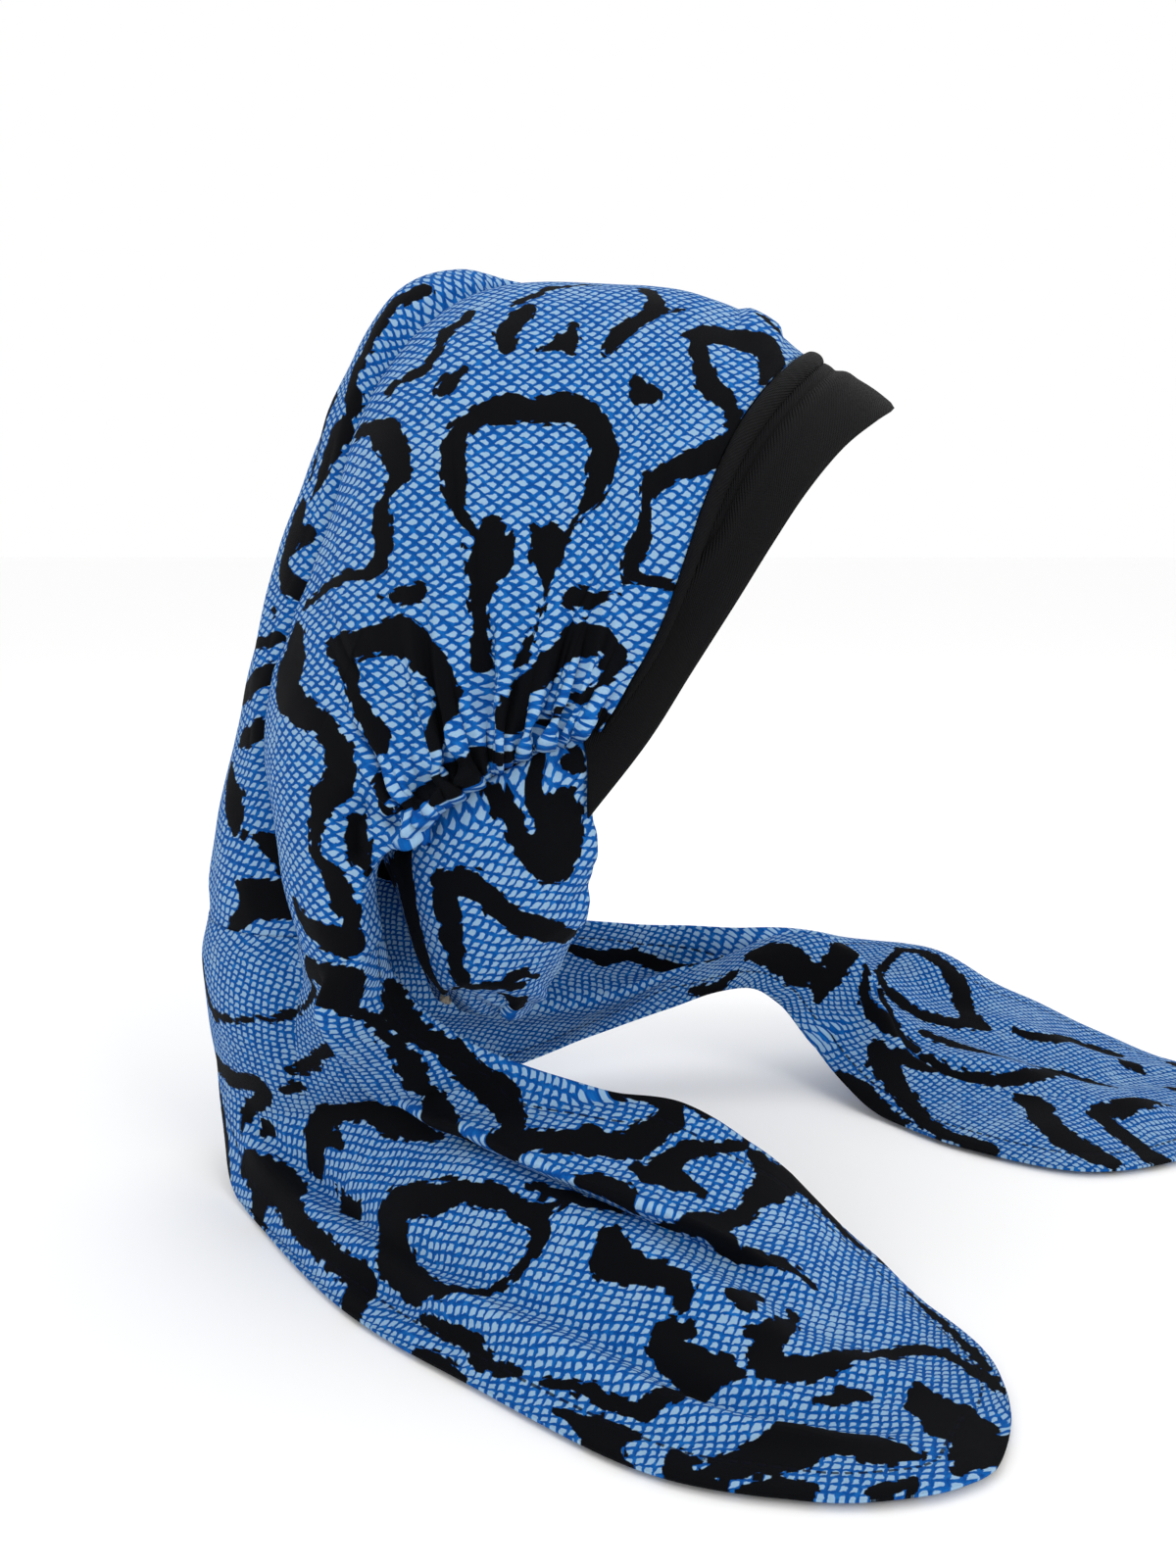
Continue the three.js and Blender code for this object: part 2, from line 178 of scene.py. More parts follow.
def ripples(p: Array, q: Array, seed: int, layers: tuple[tuple[float, ...], ...]) -> Array:
    """Layers of soft noise on the cloth, one on another.

    Args:
        p: The cloth's first coordinate.
        q: The cloth's second coordinate.
        seed: The first layer's heights. Each further layer has the next number's.
        layers: For each layer its height, and the size of its hills along p and along q.

    Returns:
        The sum of the layers, in millimetres.
    """
    total = np.zeros(p.shape)
    for number, (high, along_p, along_q) in enumerate(layers, seed):
        total += high * smooth_noise(p / along_p, q / along_q, number)
    return total


def lengthwise(points: Array, axis: int) -> Array:
    """The length of cloth from the start of each grid line, summed point to point.

    Args:
        points: The grid's points.
        axis: 0 down the rows, 1 along the columns.

    Returns:
        The lengths, in the points' unit.
    """
    steps = np.linalg.norm(np.diff(points, axis=axis), axis=-1)
    start = np.zeros_like(np.take(steps, [0], axis=axis))
    return np.concatenate([start, np.cumsum(steps, axis=axis)], axis=axis)


def grid_normals(points: Array) -> Array:
    """Unit normals of a grid: the step along the rows crossed with the step along the columns.

    Args:
        points: The grid's points.

    Returns:
        The unit normals.
    """
    down = np.gradient(points, axis=0)
    along = np.gradient(points, axis=1)
    normal = np.cross(down, along)
    return normal / np.maximum(np.linalg.norm(normal, axis=-1, keepdims=True), TINY)


def evened(normals: Array, passes: int) -> Array:
    """Evens unit normals out across a strip, so that a lift along them doesn't stretch the cloth
    of a tight fold.

    In each pass a normal becomes a quarter of each neighbour and a half of itself.

    Args:
        normals: The unit normals, with the strip's length down the rows.
        passes: The number of passes.

    Returns:
        The evened unit normals.
    """
    out = normals.copy()
    for _ in range(passes):
        out[:, 1:-1] = 0.5 * out[:, 1:-1] + 0.25 * (out[:, :-2] + out[:, 2:])
    return out / np.linalg.norm(out, axis=-1, keepdims=True)


def laid_flat(points: Array, degrees: float) -> Array:
    """Lays a strip of cloth out flat, and turns it to the way of the grain.

    Each row of the grid becomes a straight line of its own length. From one row to the next the
    line turns by the difference of the steps at its two ends over its length, and its middle
    moves by the step of the middle of the row, in its parts along and across the line.

    Args:
        points: The strip's points, with its length down the rows.
        degrees: How far the flat strip is turned, from its length towards its first column.

    Returns:
        The cloth coordinates, with a last axis of two.
    """
    over = lengthwise(points, 1)
    width = over[:, -1]
    half = points.shape[1] // 2
    quarter = half // 2
    chord = points[:, half + quarter] - points[:, half - quarter]
    chord /= np.linalg.norm(chord, axis=-1, keepdims=True)
    steps = np.diff(points, axis=0)
    sizes = np.linalg.norm(steps, axis=-1)
    across = (steps[:, half] * chord[1:]).sum(-1)
    forward = np.sqrt(np.maximum(sizes[:, half] ** 2 - across**2, 0.0))
    spread = over[1:, half + quarter] - over[1:, half - quarter]
    turning = (sizes[:, half + quarter] - sizes[:, half - quarter]) / spread
    heading = np.radians(degrees) + np.concatenate([[0.0], np.cumsum(turning)])
    ahead = np.stack([np.cos(heading), np.sin(heading)], -1)
    aside = np.stack([np.sin(heading), -np.cos(heading)], -1)
    moves = forward[:, None] * ahead[1:] + across[:, None] * aside[1:]
    middle = np.concatenate([np.zeros((1, 2)), np.cumsum(moves, axis=0)])
    off = over - width[:, None] / 2
    return middle[:, None] + off[..., None] * aside[:, None]


# ------------------------------------------------------------------ lines drawn on the cloth
def to_line(p: Array, q: Array, start: tuple, end: tuple) -> tuple[Array, Array, float]:
    """The nearest point of a straight line on the cloth. Its share of the way is the step from
    the start in its part along the line, over the line's length, held from 0 to 1.

    Args:
        p: The cloth's first coordinate.
        q: The cloth's second coordinate.
        start: The line's start.
        end: The line's end.

    Returns:
        The share of the way along the line, the distance to it and its length.
    """
    (p0, q0), (p1, q1) = start, end
    length = max(math.hypot(p1 - p0, q1 - q0), TINY)
    share = ((p - p0) * (p1 - p0) + (q - q0) * (q1 - q0)) / length**2
    share = np.clip(share, 0.0, 1.0)
    return share, np.hypot(p - mix(p0, p1, share), q - mix(q0, q1, share)), length


def to_path(p: Array, q: Array, path: Array | tuple) -> tuple[Array, Array]:
    """The nearest point of a path of straight lines, at each cloth point.

    Args:
        p: The cloth's first coordinate.
        q: The cloth's second coordinate.
        path: The path's points.

    Returns:
        The distance to the path, and the length of the path up to its nearest point.
    """
    best, place, run = np.full(p.shape, FAR), np.zeros(p.shape), 0.0
    for start, end in zip(path[:-1], path[1:]):
        share, off, length = to_line(p, q, start, end)
        place = np.where(off < best, run + share * length, place)
        best = np.minimum(best, off)
        run += length
    return best, place


@dataclass(frozen=True)
class Stroke:
    """A line drawn on the cloth, in cloth millimetres, with a half width at each point.

    The distance to it is the distance to the nearest stretch of the line less the half width
    there, so it is below zero inside. Teeth widen it in a saw along its length.
    """

    path: tuple[tuple[float, float, float], ...]
    teeth: float = 0.0
    pitch: float = 7.0
    stagger: float = 0.25

    def distance(self, p: Array, q: Array) -> Array:
        """The distance from each cloth point to the stroke's edge, below zero inside.

        Args:
            p: The cloth's first coordinate.
            q: The cloth's second coordinate.

        Returns:
            The distances.
        """
        best, run = np.full(p.shape, FAR), 0.0
        for (p0, q0, r0), (p1, q1, r1) in zip(self.path[:-1], self.path[1:]):
            share, off, length = to_line(p, q, (p0, q0), (p1, q1))
            half = mix(r0, r1, share)
            if self.teeth:
                side = np.sign((p - p0) * (q1 - q0) - (q - q0) * (p1 - p0))
                phase = ((run + share * length) / self.pitch + self.stagger * side) % 1.0
                half = half + self.teeth * (1.0 - phase) ** 2
            best = np.minimum(best, off - half)
            run += length
        return best


def stroke(*numbers: float, teeth: float = 0.0, pitch: float = 7.0) -> Stroke:
    """A stroke from a row of numbers: the two cloth coordinates and the half width of each
    point in turn."""
    path = tuple(zip(numbers[::3], numbers[1::3], numbers[2::3]))
    return Stroke(path, teeth, pitch)


def nearest_stroke(strokes: list[Stroke], cloth: Array) -> Array:
    """The distance to the nearest of several strokes, at each cloth point.

    Args:
        strokes: The strokes.
        cloth: The cloth coordinates.

    Returns:
        The distances, below zero inside a stroke.
    """
    p, q = cloth[..., 0], cloth[..., 1]
    best = np.full(p.shape, FAR)
    for each in strokes:
        best = np.minimum(best, each.distance(p, q))
    return best


CROWN_STROKES = [
    stroke(-51.5, -71, 1.6, -53, -65, 3.3, -54.5, -57.5, 3.5, -54, -51.5, 3.4, -52, -46, 3.2,
           -45, -40.5, 3.6, -37.5, -39, 5, -31.5, -41.5, 3.4, -22.5, -39.5, 5, -15.5, -41.5, 4.6,
           -10.5, -48, 4.1, -9, -53, 4.7, -10.5, -60, 4.4, -12.5, -66, 3.3, -16.5, -71, 1.8),
    stroke(-51.5, -71, 1.6, -49, -74, 1.3, -46, -77.5, 1.5),
    stroke(-42.5, -76.5, 4.2, -43, -80.5, 5.5, -43, -84.5, 6.2, -45, -88.5, 4.2, -46, -97, 2.7,
           -46, -105, 2, -46.5, -110, 1.6, -46, -114, 2.1),
    stroke(-42, -77, 1.5, -39.5, -74.5, 0.6),
    stroke(-38, -79, 1.5, -36.5, -75.5, 0.5),
    stroke(-46, -81, 1, -50.5, -80.5, 0.4),
    stroke(-16.5, -71, 1.5, -19.5, -74.5, 0.9, -21.5, -78, 1.3),
    stroke(-26, -78.5, 4.4, -27, -83.5, 4.5, -27, -87.5, 3, -27, -91.5, 1, -28, -97.5, 0.6,
           -30, -103.5, 0.6, -32.5, -108.5, 1.2, -34.5, -113.5, 1.4),
    stroke(-29.5, -77, 1.2, -31, -75, 0.4),
    stroke(-25, -76, 1.5, -26.5, -73, 0.5),
    stroke(-37, -129, 3.4, -35.5, -124.5, 3, -30.5, -118, 3.1, -22.5, -110.5, 3.8,
           -16, -106, 4.6, -10, -107.5, 4, -6.5, -111.5, 2.8, -9, -116.5, 2.2,
           -14.5, -121.5, 1.4, -20.5, -126, 0.9, -28.5, -131, 0.7),
    stroke(-20, -95.5, 2.5, -15.5, -95.5, 2.6, -11.5, -96, 1.9, -4.5, -95.5, 0.4),
    stroke(-76, -93, 0.4, -71.5, -94, 1.7, -67.5, -94, 2.7, -63.5, -94, 2.9),
    stroke(-88, -37, 2.5, -80.5, -40, 2.8, -76, -43, 4.8, -70.5, -53.5, 4.4, -69.5, -58.5, 3.4,
           -73.5, -64.5, 1.5, -75, -69, 2.5, -75, -75, 3, -74.5, -79, 3, -75.5, -84, 3.2,
           -81.5, -86.5, 2, -93, -86.5, 1.7, -102, -89.5, 1.8, -108, -90, 1.8),
    stroke(-58.5, -136.5, 1.6, -57.5, -133, 2.6, -56, -127, 3.5, -55, -122, 3.6,
           -57.5, -116.5, 4.2, -62, -110.5, 4.8, -68.5, -105, 5, -75, -106, 4.4,
           -82, -108, 4, -90.5, -108.5, 4),
    stroke(-88, -111, 3.5, -85.5, -115.5, 3.1, -84, -122, 1.9, -79.5, -129, 2.3,
           -75, -134.5, 2.9, -73.5, -138.5, 1.3),
    stroke(-113, -98.5, 3, -113, -103, 6.3, -113, -110, 7.6, -113.5, -116, 6.6,
           -111, -121.5, 6, -105, -126, 4.4, -98, -128.5, 3.6, -94.5, -131.5, 3, -90, -134.5, 3,
           -87, -139.5, 4.4, -86, -144.5, 4.6, -88.5, -149, 4.4, -93.5, -153, 4.2,
           -94.5, -158, 2.8, -95.5, -164, 2, teeth=0.9, pitch=8),
    stroke(-95.5, -164, 2, -96, -169, 1.6, -91, -173.5, 2.4, -88, -177.5, 4, -87, -182, 4,
           -85, -187, 2.6, -85.5, -191, 3),
    stroke(-109, -186, 1.5, -106, -190, 2.6, -100, -192.5, 3.6, -92, -193.5, 4.2,
           -85.5, -194.5, 4.2),
    # Partly the print's black, partly painted shade of the hollow under the drape's fold
    stroke(-85, -158.5, 2.5, -83, -163, 5.2, -82, -168, 4, -79, -172, 1.5),
    stroke(-74.5, -143.5, 0.6, -73, -149, 1.3, -72.5, -154, 1.6, -68, -153.5, 1.2),
    # Partly the print's black, partly painted shade in the valley between the crown and the pouch
    stroke(-70, -154, 1, -64, -151.5, 2, -58, -149, 3.4, -52, -145, 3.8, -47, -140.5, 3.4),
    stroke(-45.5, -138.5, 2, -39.5, -139.5, 1.6, -31.5, -138, 0.8),
    stroke(-47, -143, 2.2, -50.5, -147, 2),
    stroke(-11.5, -128, 1.5, -14.5, -132.5, 1),
    stroke(-39, -19, 2.5, -39.5, -12, 3.6, -35.5, -5.5, 3.6, -32.5, -2, 2.2),
    stroke(-38, 1, 1.2, -32, 6, 1.6, -24.5, 13.5, 1.6, -14.5, 17, 1, -8, 19, 0.6),
    stroke(-30.5, -20.5, 0.4, -24.5, -17.5, 1.8, -20.5, -15, 3, -19, -9.5, 1.6),
    stroke(-20.5, -15, 2, -19.5, -20, 1.2),
    stroke(-8.5, -21, 1.6, -4.5, -14.5, 3.4, 1, -10, 2.6, 7.5, -4.5, 2.8, 9.5, 2, 3,
           6.5, 12, 2.5),
    stroke(9, -3, 1.8, 12.5, -2.5, 1.5, 19, -1.5, 0.4),
    stroke(2.5, -32.5, 3.2, 4, -36, 3.8, 8, -36.5, 3),
    stroke(-58, -32.5, 2.4, -55.5, -30, 2.7, -52.5, -27.5, 2.1),
    stroke(-52, 0, 1.2, -54.5, -5.5, 2.6, -58, -8, 2.6, -60.5, -16, 1.7, -63.5, -22.5, 2.1,
           -68.5, -24.5, 2, -74, -25.5, 1.1, -76, -28, 1.9),
    stroke(33, -55.5, 4, 30, -58, 5, 23.5, -59, 3.8, 15, -61.5, 3.4, 7.5, -64.5, 3.6,
           6, -70.5, 2.2, 5, -75.5, 2.2, 4.5, -79, 2.6, 0.5, -85, 2.8, -2, -90, 2),
    stroke(-2, -90, 2, 2.5, -91, 1.2, 12, -93.5, 1.5),
    stroke(18.5, -14.5, 1, 23.5, -14, 3, 28.5, -13, 4.6, 34, -13, 4, 39.5, -13.3, 4.8,
           46, -14.5, 5.5, 49.5, -20, 4.8, 48, -26, 3.2, 46, -32, 1.4),
    stroke(23.5, -14, 3, 24.5, -21, 4, 27, -27.5, 3.2, 28.5, -32.5, 4.2, 32.8, -38, 3.5,
           36, -43, 2.4, 37, -49.5, 3, 36, -54, 3),
    stroke(43, 1.5, 0.8, 48, -1.5, 1.2, 52, -4, 0.8),
]
PANEL_STROKES = [
    stroke(2, -38, 3, -1, -46, 2.5, -2.5, -54, 3, -3.5, -60, 3, -7.5, -70, 3, -9, -75.5, 2.4,
           -7.5, -80, 4.3, -8.5, -85.5, 2),
    stroke(-24, -76, 1.2, -27, -86, 1.2, -29, -96, 1, -31, -104, 0.8),
    stroke(-10, -90.5, 3.5, -15, -93.5, 4.5, -18, -98, 4, -21, -103, 3.5, -25, -108, 1.8,
           -27, -111, 0.6),
    stroke(-33.5, -113, 3.5, -34.5, -118.5, 4.8, -35, -123, 5, -39, -127, 3, -41, -132, 3,
           -38, -137, 3.8, -33, -141, 3.6, -29, -146, 2.5),
    stroke(-35, -122, 4, -26.5, -122.5, 2.8),
    stroke(-46, -146, 1.5, -45, -147, 1.5),
    stroke(-62, -153, 2.2, -56, -154.5, 1.8, -50, -155.5, 1.8, -43, -157, 2.3),
    stroke(-68, -167.5, 4.2, -58, -168, 4.4, -50, -168, 4.2, -46, -168, 4),
    stroke(-70, -184, 2.6, -62, -185.5, 3.8, -53, -186.5, 3.2),
    stroke(-80, -190, 2.5, -78, -197, 4, -75.5, -204, 5.5, -76, -210, 4, -76, -215, 1.5),
    stroke(-73, -216.5, 0.6, -68, -220, 1.6, -65, -224.5, 2.8, -63.5, -229, 3,
           -64.5, -232.5, 1.6),
    stroke(-79, -230, 1.5, -76, -236, 5, -70, -240.5, 7, -62, -243, 6.5, -54, -245, 5.5),
    stroke(-76, -240, 4, -86, -243, 3, -96, -247, 2),
]
ROOT_STROKES = [
    stroke(-58, 3, 3, -57, -4, 3, -55, -9, 1.8, -48, -11, 1.1, -37, -14.5, 0.8, -24, -18.5, 0.8,
           -8, -20, 1, 8, -19.5, 1.3, 17, -17, 1.8, 21, -12, 1.8, 22, -5, 1.5, 20, 2, 1.6),
    stroke(24, -12, 3, 31, -16, 4.5, 38, -20, 5.5, 43, -24, 4),
    stroke(-90, -14, 3, -80, -19, 3.4, -70, -25, 3, -61, -29, 3.2, -55, -32, 3.8, -60, -35, 3, -67,
           -35, 2.6, -74, -34, 2.2, -79, -36, 1.4, -82, -40, 0.8),
    stroke(-38, -33, 0.8, -31, -34.5, 2.2, -24, -35.5, 2.4, -16, -35, 2, -8, -35, 1.8, -1, -34,
           1.6),
    stroke(-48, -37, 1.4, -43, -38.5, 2.2, -39, -38, 1.6),
    stroke(-71, -41, 2.6, -69, -43, 2),
    stroke(-93, -22, 2, -95, -32, 2.5, -95, -42, 2, -93, -50, 1),
    stroke(-55, -62.5, 1.5, -53, -58.5, 4.5, -50.5, -54.5, 5.5, -46, -52, 5, -41, -52.5, 4.4, -35,
           -54.5, 4, -28, -58, 4.6, -22, -65, 5, -16, -72, 4.3, -11.5, -77, 3, -8, -80, 1.4),
    stroke(-47, -57, 2, -42, -59.5, 2, -41, -63, 1.2),
    stroke(-48, -69.5, 0.6, -47.5, -73, 1.8, -46, -78, 3, -42.5, -82, 2.6, -37, -81.5, 0.8),
]
RIGHT_STROKES = ROOT_STROKES + [
    stroke(38, -20, 5, 45, -26, 4, 46.5, -33.5, 2.2, 43.4, -40, 2.1, 37.6, -44.4, 1.9, 32.2, -49,
           2, 25, -54.5, 3, 19.3, -57.8, 3.2, 12.6, -62.9, 3.3, 8, -72.3, 3.6, 9.5, -79.4, 4, 9,
           -84.5, 4.4, 10, -88, 3),
    # Its first three points are partly the print's black, partly painted shade at the top of the
    # tail
    stroke(62, -38, 3, 59, -40, 4, 50, -43.5, 3.6, 43, -47.2, 3.8, 37.7, -52.3, 3.3, 35, -57.3,
           3.5, 32, -62.2, 4, 28.5, -66.8, 4.3, 25, -73, 5, 26.5, -77, 4.4, 29, -82.3, 4.5, 27.7,
           -87.6, 3.6, 25, -92.5, 3.6, 22.5, -96, 4, teeth=0.8),
    stroke(22.5, -96, 4, 26.8, -97.5, 3.6, 33.5, -99, 3.1, 38.8, -101, 3.6, 44.5, -101.7, 3.7,
           49.5, -105.2, 3.4, 54.5, -106.4, 4.4, 58.5, -105, 4.2, 63.5, -103.2, 3.6, 67.8, -101.6,
           3.8, 70, -98.7, 3.8, 69, -94, 3.2, 60, -88, 2.4, 52, -82, 1.6, teeth=0.8),
    stroke(36, -113.5, 1, 41, -115.5, 3.2, 45, -119.5, 3.4, 45, -124, 2.6),
    stroke(12, -109, 1.5, 18, -114.5, 2.5, 25, -119.5, 3, 33, -123, 2.5, 38, -126, 1.5),
    stroke(52, -113, 2, 55, -116.5, 3.5, 59, -117, 4.8, 63, -121, 3.4, 67, -125.5, 1.2),
    stroke(59, -116.5, 4.5, 65, -113.3, 3.2, 70, -111.8, 2, 76, -113.5, 1.6, 82.5, -114.3, 1.6, 89,
           -115, 1.3),
    stroke(75, -96, 3, 80, -102, 3.5, 86, -105.5, 2.2, 92, -109, 3),
    stroke(96, -126, 4, 98, -132, 3.4, 100, -138, 2.8, 103, -144, 2.2, 107, -150, 1.5, 111, -156,
           0.8),
    stroke(90, -119, 3, 90.5, -125.5, 6, 86, -129, 4.4, 78, -131.7, 2.6, 69.2, -135.7, 2.5, 65,
           -135.3, 4, 60, -135, 4.3, 54.5, -134.5, 2.9, 48, -132.5, 1.7, 42, -130.5, 0.8),
    stroke(61, -136, 4, 60.3, -141.5, 4.8, 61.5, -145.8, 3.6, 65.5, -148.7, 2.5, 70, -152.6, 2, 73,
           -156.3, 1.9, 74.5, -160.5, 1, 75, -163, 0.4),
    stroke(-82, -45, 2.5, -78, -49, 4.5, -73, -55.5, 6, -66, -63, 5.2, -64.5, -70, 4.6, -62.5,
           -75.5, 3.4, -58.5, -82.5, 3, -53, -93.5, 3, -49.5, -99, 3.4, -46, -104, 4.2, -47, -109,
           4.8, -50.5, -113, 4.2, -51, -118, 3),
    stroke(-76, -54, 5, -79, -59, 4.4, -80, -64, 2.6, -79, -68, 1),
    stroke(-84, -72, 1, -83, -80, 2.5, -77, -92, 3, -70, -102, 2.5),
    stroke(-26, -92, 5, -29, -95, 6.2, -32, -100, 6, -32.5, -108, 5.5, -30, -115, 4.5, -25, -121,
           2.9, -20, -125, 1.7, -14, -127.7, 1.5, -8, -129, 1.3, 0, -129, 1.3, 5.3, -126.5, 1.7,
           10, -123.3, 2.4, 10.3, -118, 3.5, 6, -113.2, 2.6, 2.5, -107.5, 3, -3, -104, 3, -8.5,
           -100, 3.4, -14.5, -98.5, 4, -21, -95, 5, -26, -92, 5),
    stroke(10.3, -118, 3.4, 17, -118.5, 1.2),
    stroke(27, -133.5, 3.4, 25.3, -138, 6, 27.5, -141.5, 4.6, 30.5, -145.2, 3.1, 35, -148.5, 3.3,
           37.3, -152.8, 3.1, 35.8, -155.8, 2.2, 31.5, -158, 0.5),
    stroke(34.8, -161.7, 1.2, 31.7, -163, 2.4, 27.7, -162, 3.5, 24.7, -164, 4, 26, -168.5, 5.4,
           28.5, -173, 6.4, 33, -175.8, 4.4, 36.5, -179, 1.6),
    stroke(28, -173, 6, 23.3, -177.6, 3.6, 17, -177.5, 2.8, 10.8, -177.6, 2.5, 6.7, -177.3, 2.4,
           3.4, -173.4, 2.1, 1.3, -168.3, 2.3, -0.5, -165.3, 2.2, -3, -161.7, 1.1, -7.5, -158.3,
           0.7),
    stroke(-31.5, -125.3, 1.3, -26, -130.5, 1.8, -21.8, -135, 1.9, -19, -139.6, 2.6, -18.5, -143.8,
           3, -15.5, -148.5, 2, -11, -153, 0.8),
    stroke(-34, -134.5, 2, -30.5, -138.5, 3.2, -27.5, -143, 2.5, -25, -148, 1.2),
    stroke(-8.3, -166.2, 0.8, -6.3, -170.7, 1.7, -4.2, -175.7, 3.6, -1.3, -179.6, 3.4, 2.8, -182,
           1.4),
    stroke(-4, -176, 3.5, -7, -179.5, 4.2, -6, -184.5, 3, -4.5, -188, 1.5),
    stroke(5.5, -191.5, 2.5, 4.7, -194.5, 3.6, 2.5, -197, 3.5, 4, -201, 3.4, 6, -205, 2.5),
    stroke(8, -200.5, 1.5, 11, -201.5, 3.2, 15.4, -203.3, 4.5, 20.9, -204.7, 6, 26, -206, 6.6,
           31.5, -205.5, 6.4, 36.8, -204.5, 6, 39, -209, 5.4, 42.3, -212.3, 5, 43.8, -216.9, 5,
           46.8, -220, 4.2, 49.8, -223.5, 1.6),
    stroke(10, -208.5, 1.2, 12.6, -211, 2.8, 16.7, -213.4, 3.4, 20.7, -216.6, 2.8),
    stroke(33, -226, 1.6, 36.5, -227.3, 2.2, 41, -229.5, 1.8),
    stroke(46.7, -193.8, 0.7, 50.4, -195.7, 2, 54.7, -197, 2.6, 58.2, -198.3, 2, 59.2, -200, 0.7),
    stroke(62.3, -168, 1, 61, -170, 1.9, 55.3, -172.2, 2.8, 49, -174.6, 3.2, 45.5, -177, 4, 43.6,
           -181, 4.4, 46.3, -184, 4, 52.5, -185.6, 3.9, 59.6, -186.4, 3.2, 66, -187.2, 2.5, 73.8,
           -188.7, 2.1, 82, -190, 2.3, 89.5, -192.3, 2.3, 92.6, -197, 2.2, 92.8, -203.2, 2.2, 91.5,
           -210.5, 2.6, 90, -216.5, 2.8, 86.5, -222.5, 1.2),
    stroke(49, -174.6, 3, 44.5, -170.3, 1),
    stroke(109, -168, 0.6, 108, -180, 1.6, 104, -192, 1.8, 100, -203, 2, 96, -211, 2),
    stroke(73, -203.5, 1.5, 71.5, -206.3, 3.2, 68.8, -211.4, 5.4, 68.1, -216.9, 6.8, 65.2, -222,
           6.8, 63.5, -226.3, 5, 57, -230, 3.6, 51.5, -232.3, 1.4),
    stroke(47.8, -161, 2.6, 49.5, -163, 3, 49.3, -166, 0.8),
    stroke(49, -161.5, 2.8, 56.5, -160.7, 2),
]
LEFT_STROKES = ROOT_STROKES + [
    stroke(128, -104, 4.8, 136, -106.5, 7.3, 146, -110, 7.3, 152, -118, 3.2),
    stroke(152, -107, 2.8, 155.5, -111.5, 4, 161, -119.5, 3.4, 163.5, -125, 1.6),
    stroke(160, -93, 4.3, 159.5, -101, 5.4, 161.5, -109, 3.6, 163.5, -116, 1.6),
    stroke(170, -100, 1.6, 173, -107, 1.8, 184, -118, 2.3, 195, -124, 2),
    stroke(190, -132, 3.8, 193, -137, 5.8, 197, -143, 4.8, 200.5, -149, 3.8, 205, -157, 3.4, 210,
           -166, 3, 217, -173.5, 2.8, 226, -179.5, 3, 233, -184, 3.6),
    stroke(198.5, -135, 4, 209, -139, 3, 221.5, -142, 2.8, 235, -143.5, 3, 246, -149.5, 3.4, 252.5,
           -162, 5.4, 256, -174, 4.8, 262, -181.5, 5.2, 269.5, -185, 5.6, 276, -187, 4),
    stroke(178, -146, 2.3, 182, -148.5, 3.8, 188, -151, 4.2, 194, -158.5, 3.4, 200, -167, 3.4),
    stroke(306, -133, 3.5, 299, -141, 3.2, 291, -149.5, 2.8, 280.5, -157, 3.4, 273, -161.5, 2.4),
    stroke(276, -161, 4.2, 281, -166, 4.6, 287, -170, 4.2, 292, -176, 5.2, 298, -178, 4.6),
    stroke(187, -59, 1.8, 197, -60.5, 2.3, 211, -64.5, 3.2, 221.5, -70, 4.6, 226.5, -78.5, 4.4,
           229, -88, 4.8, 236, -94.5, 3.4),
    stroke(232, -93, 4.2, 221.5, -95.5, 3.4, 210, -96, 2.8, 199.5, -94, 2.3, 190, -90, 2.1, 185.5,
           -82, 2, 186.5, -68, 2, 188, -59, 1.8),
    stroke(189, -92, 1.8, 190.5, -98, 2.2, 195, -108, 2.6, 201, -116, 3.2, 208, -122, 2),
    stroke(210, -109.5, 2, 220, -114, 2.6, 232, -116.5, 2.8, 244.5, -118, 2.8, 256, -118, 3.2, 264,
           -117, 4.8, 271, -116.5, 5.4, 280, -117.5, 4.2, 288, -119, 2.4),
    stroke(212, -125, 1.8, 221, -132, 2.4, 231.5, -134, 2.4, 243.5, -134, 2.5, 255, -129.5, 3, 264,
           -122, 3.8),
    stroke(250, -93, 1.6, 256, -94.5, 2.4, 263, -94, 2.2, 269, -90, 3.2, 279, -84, 4.4, 288, -80.5,
           3.8, 298, -80, 2.8),
    stroke(298, -92, 2.8, 303, -93, 3.6),
    stroke(318, -70, 2, 326, -78, 4.5, 336, -82, 3.5, 344, -92, 4, 340, -104, 2),
    stroke(312, -108, 2, 322, -114, 4, 332, -112, 3, 345, -118, 4.5, 356, -112, 2),
    stroke(318, -140, 3, 328, -148, 4.5, 340, -146, 3, 352, -138, 4, 362, -128, 2),
    stroke(330, -165, 2, 338, -172, 3.5, 350, -168, 3),
    stroke(358, -88, 2, 366, -96, 4, 372, -106, 2.6),
    stroke(70, -30, 2, 80, -38, 4.5, 92, -42, 3, 104, -52, 4.5, 112, -64, 3),
    stroke(64, -70, 2, 74, -78, 4, 86, -80, 3, 96, -90, 4.2, 110, -92, 2.5),
    stroke(100, -110, 2, 110, -116, 4, 120, -112, 2),
]
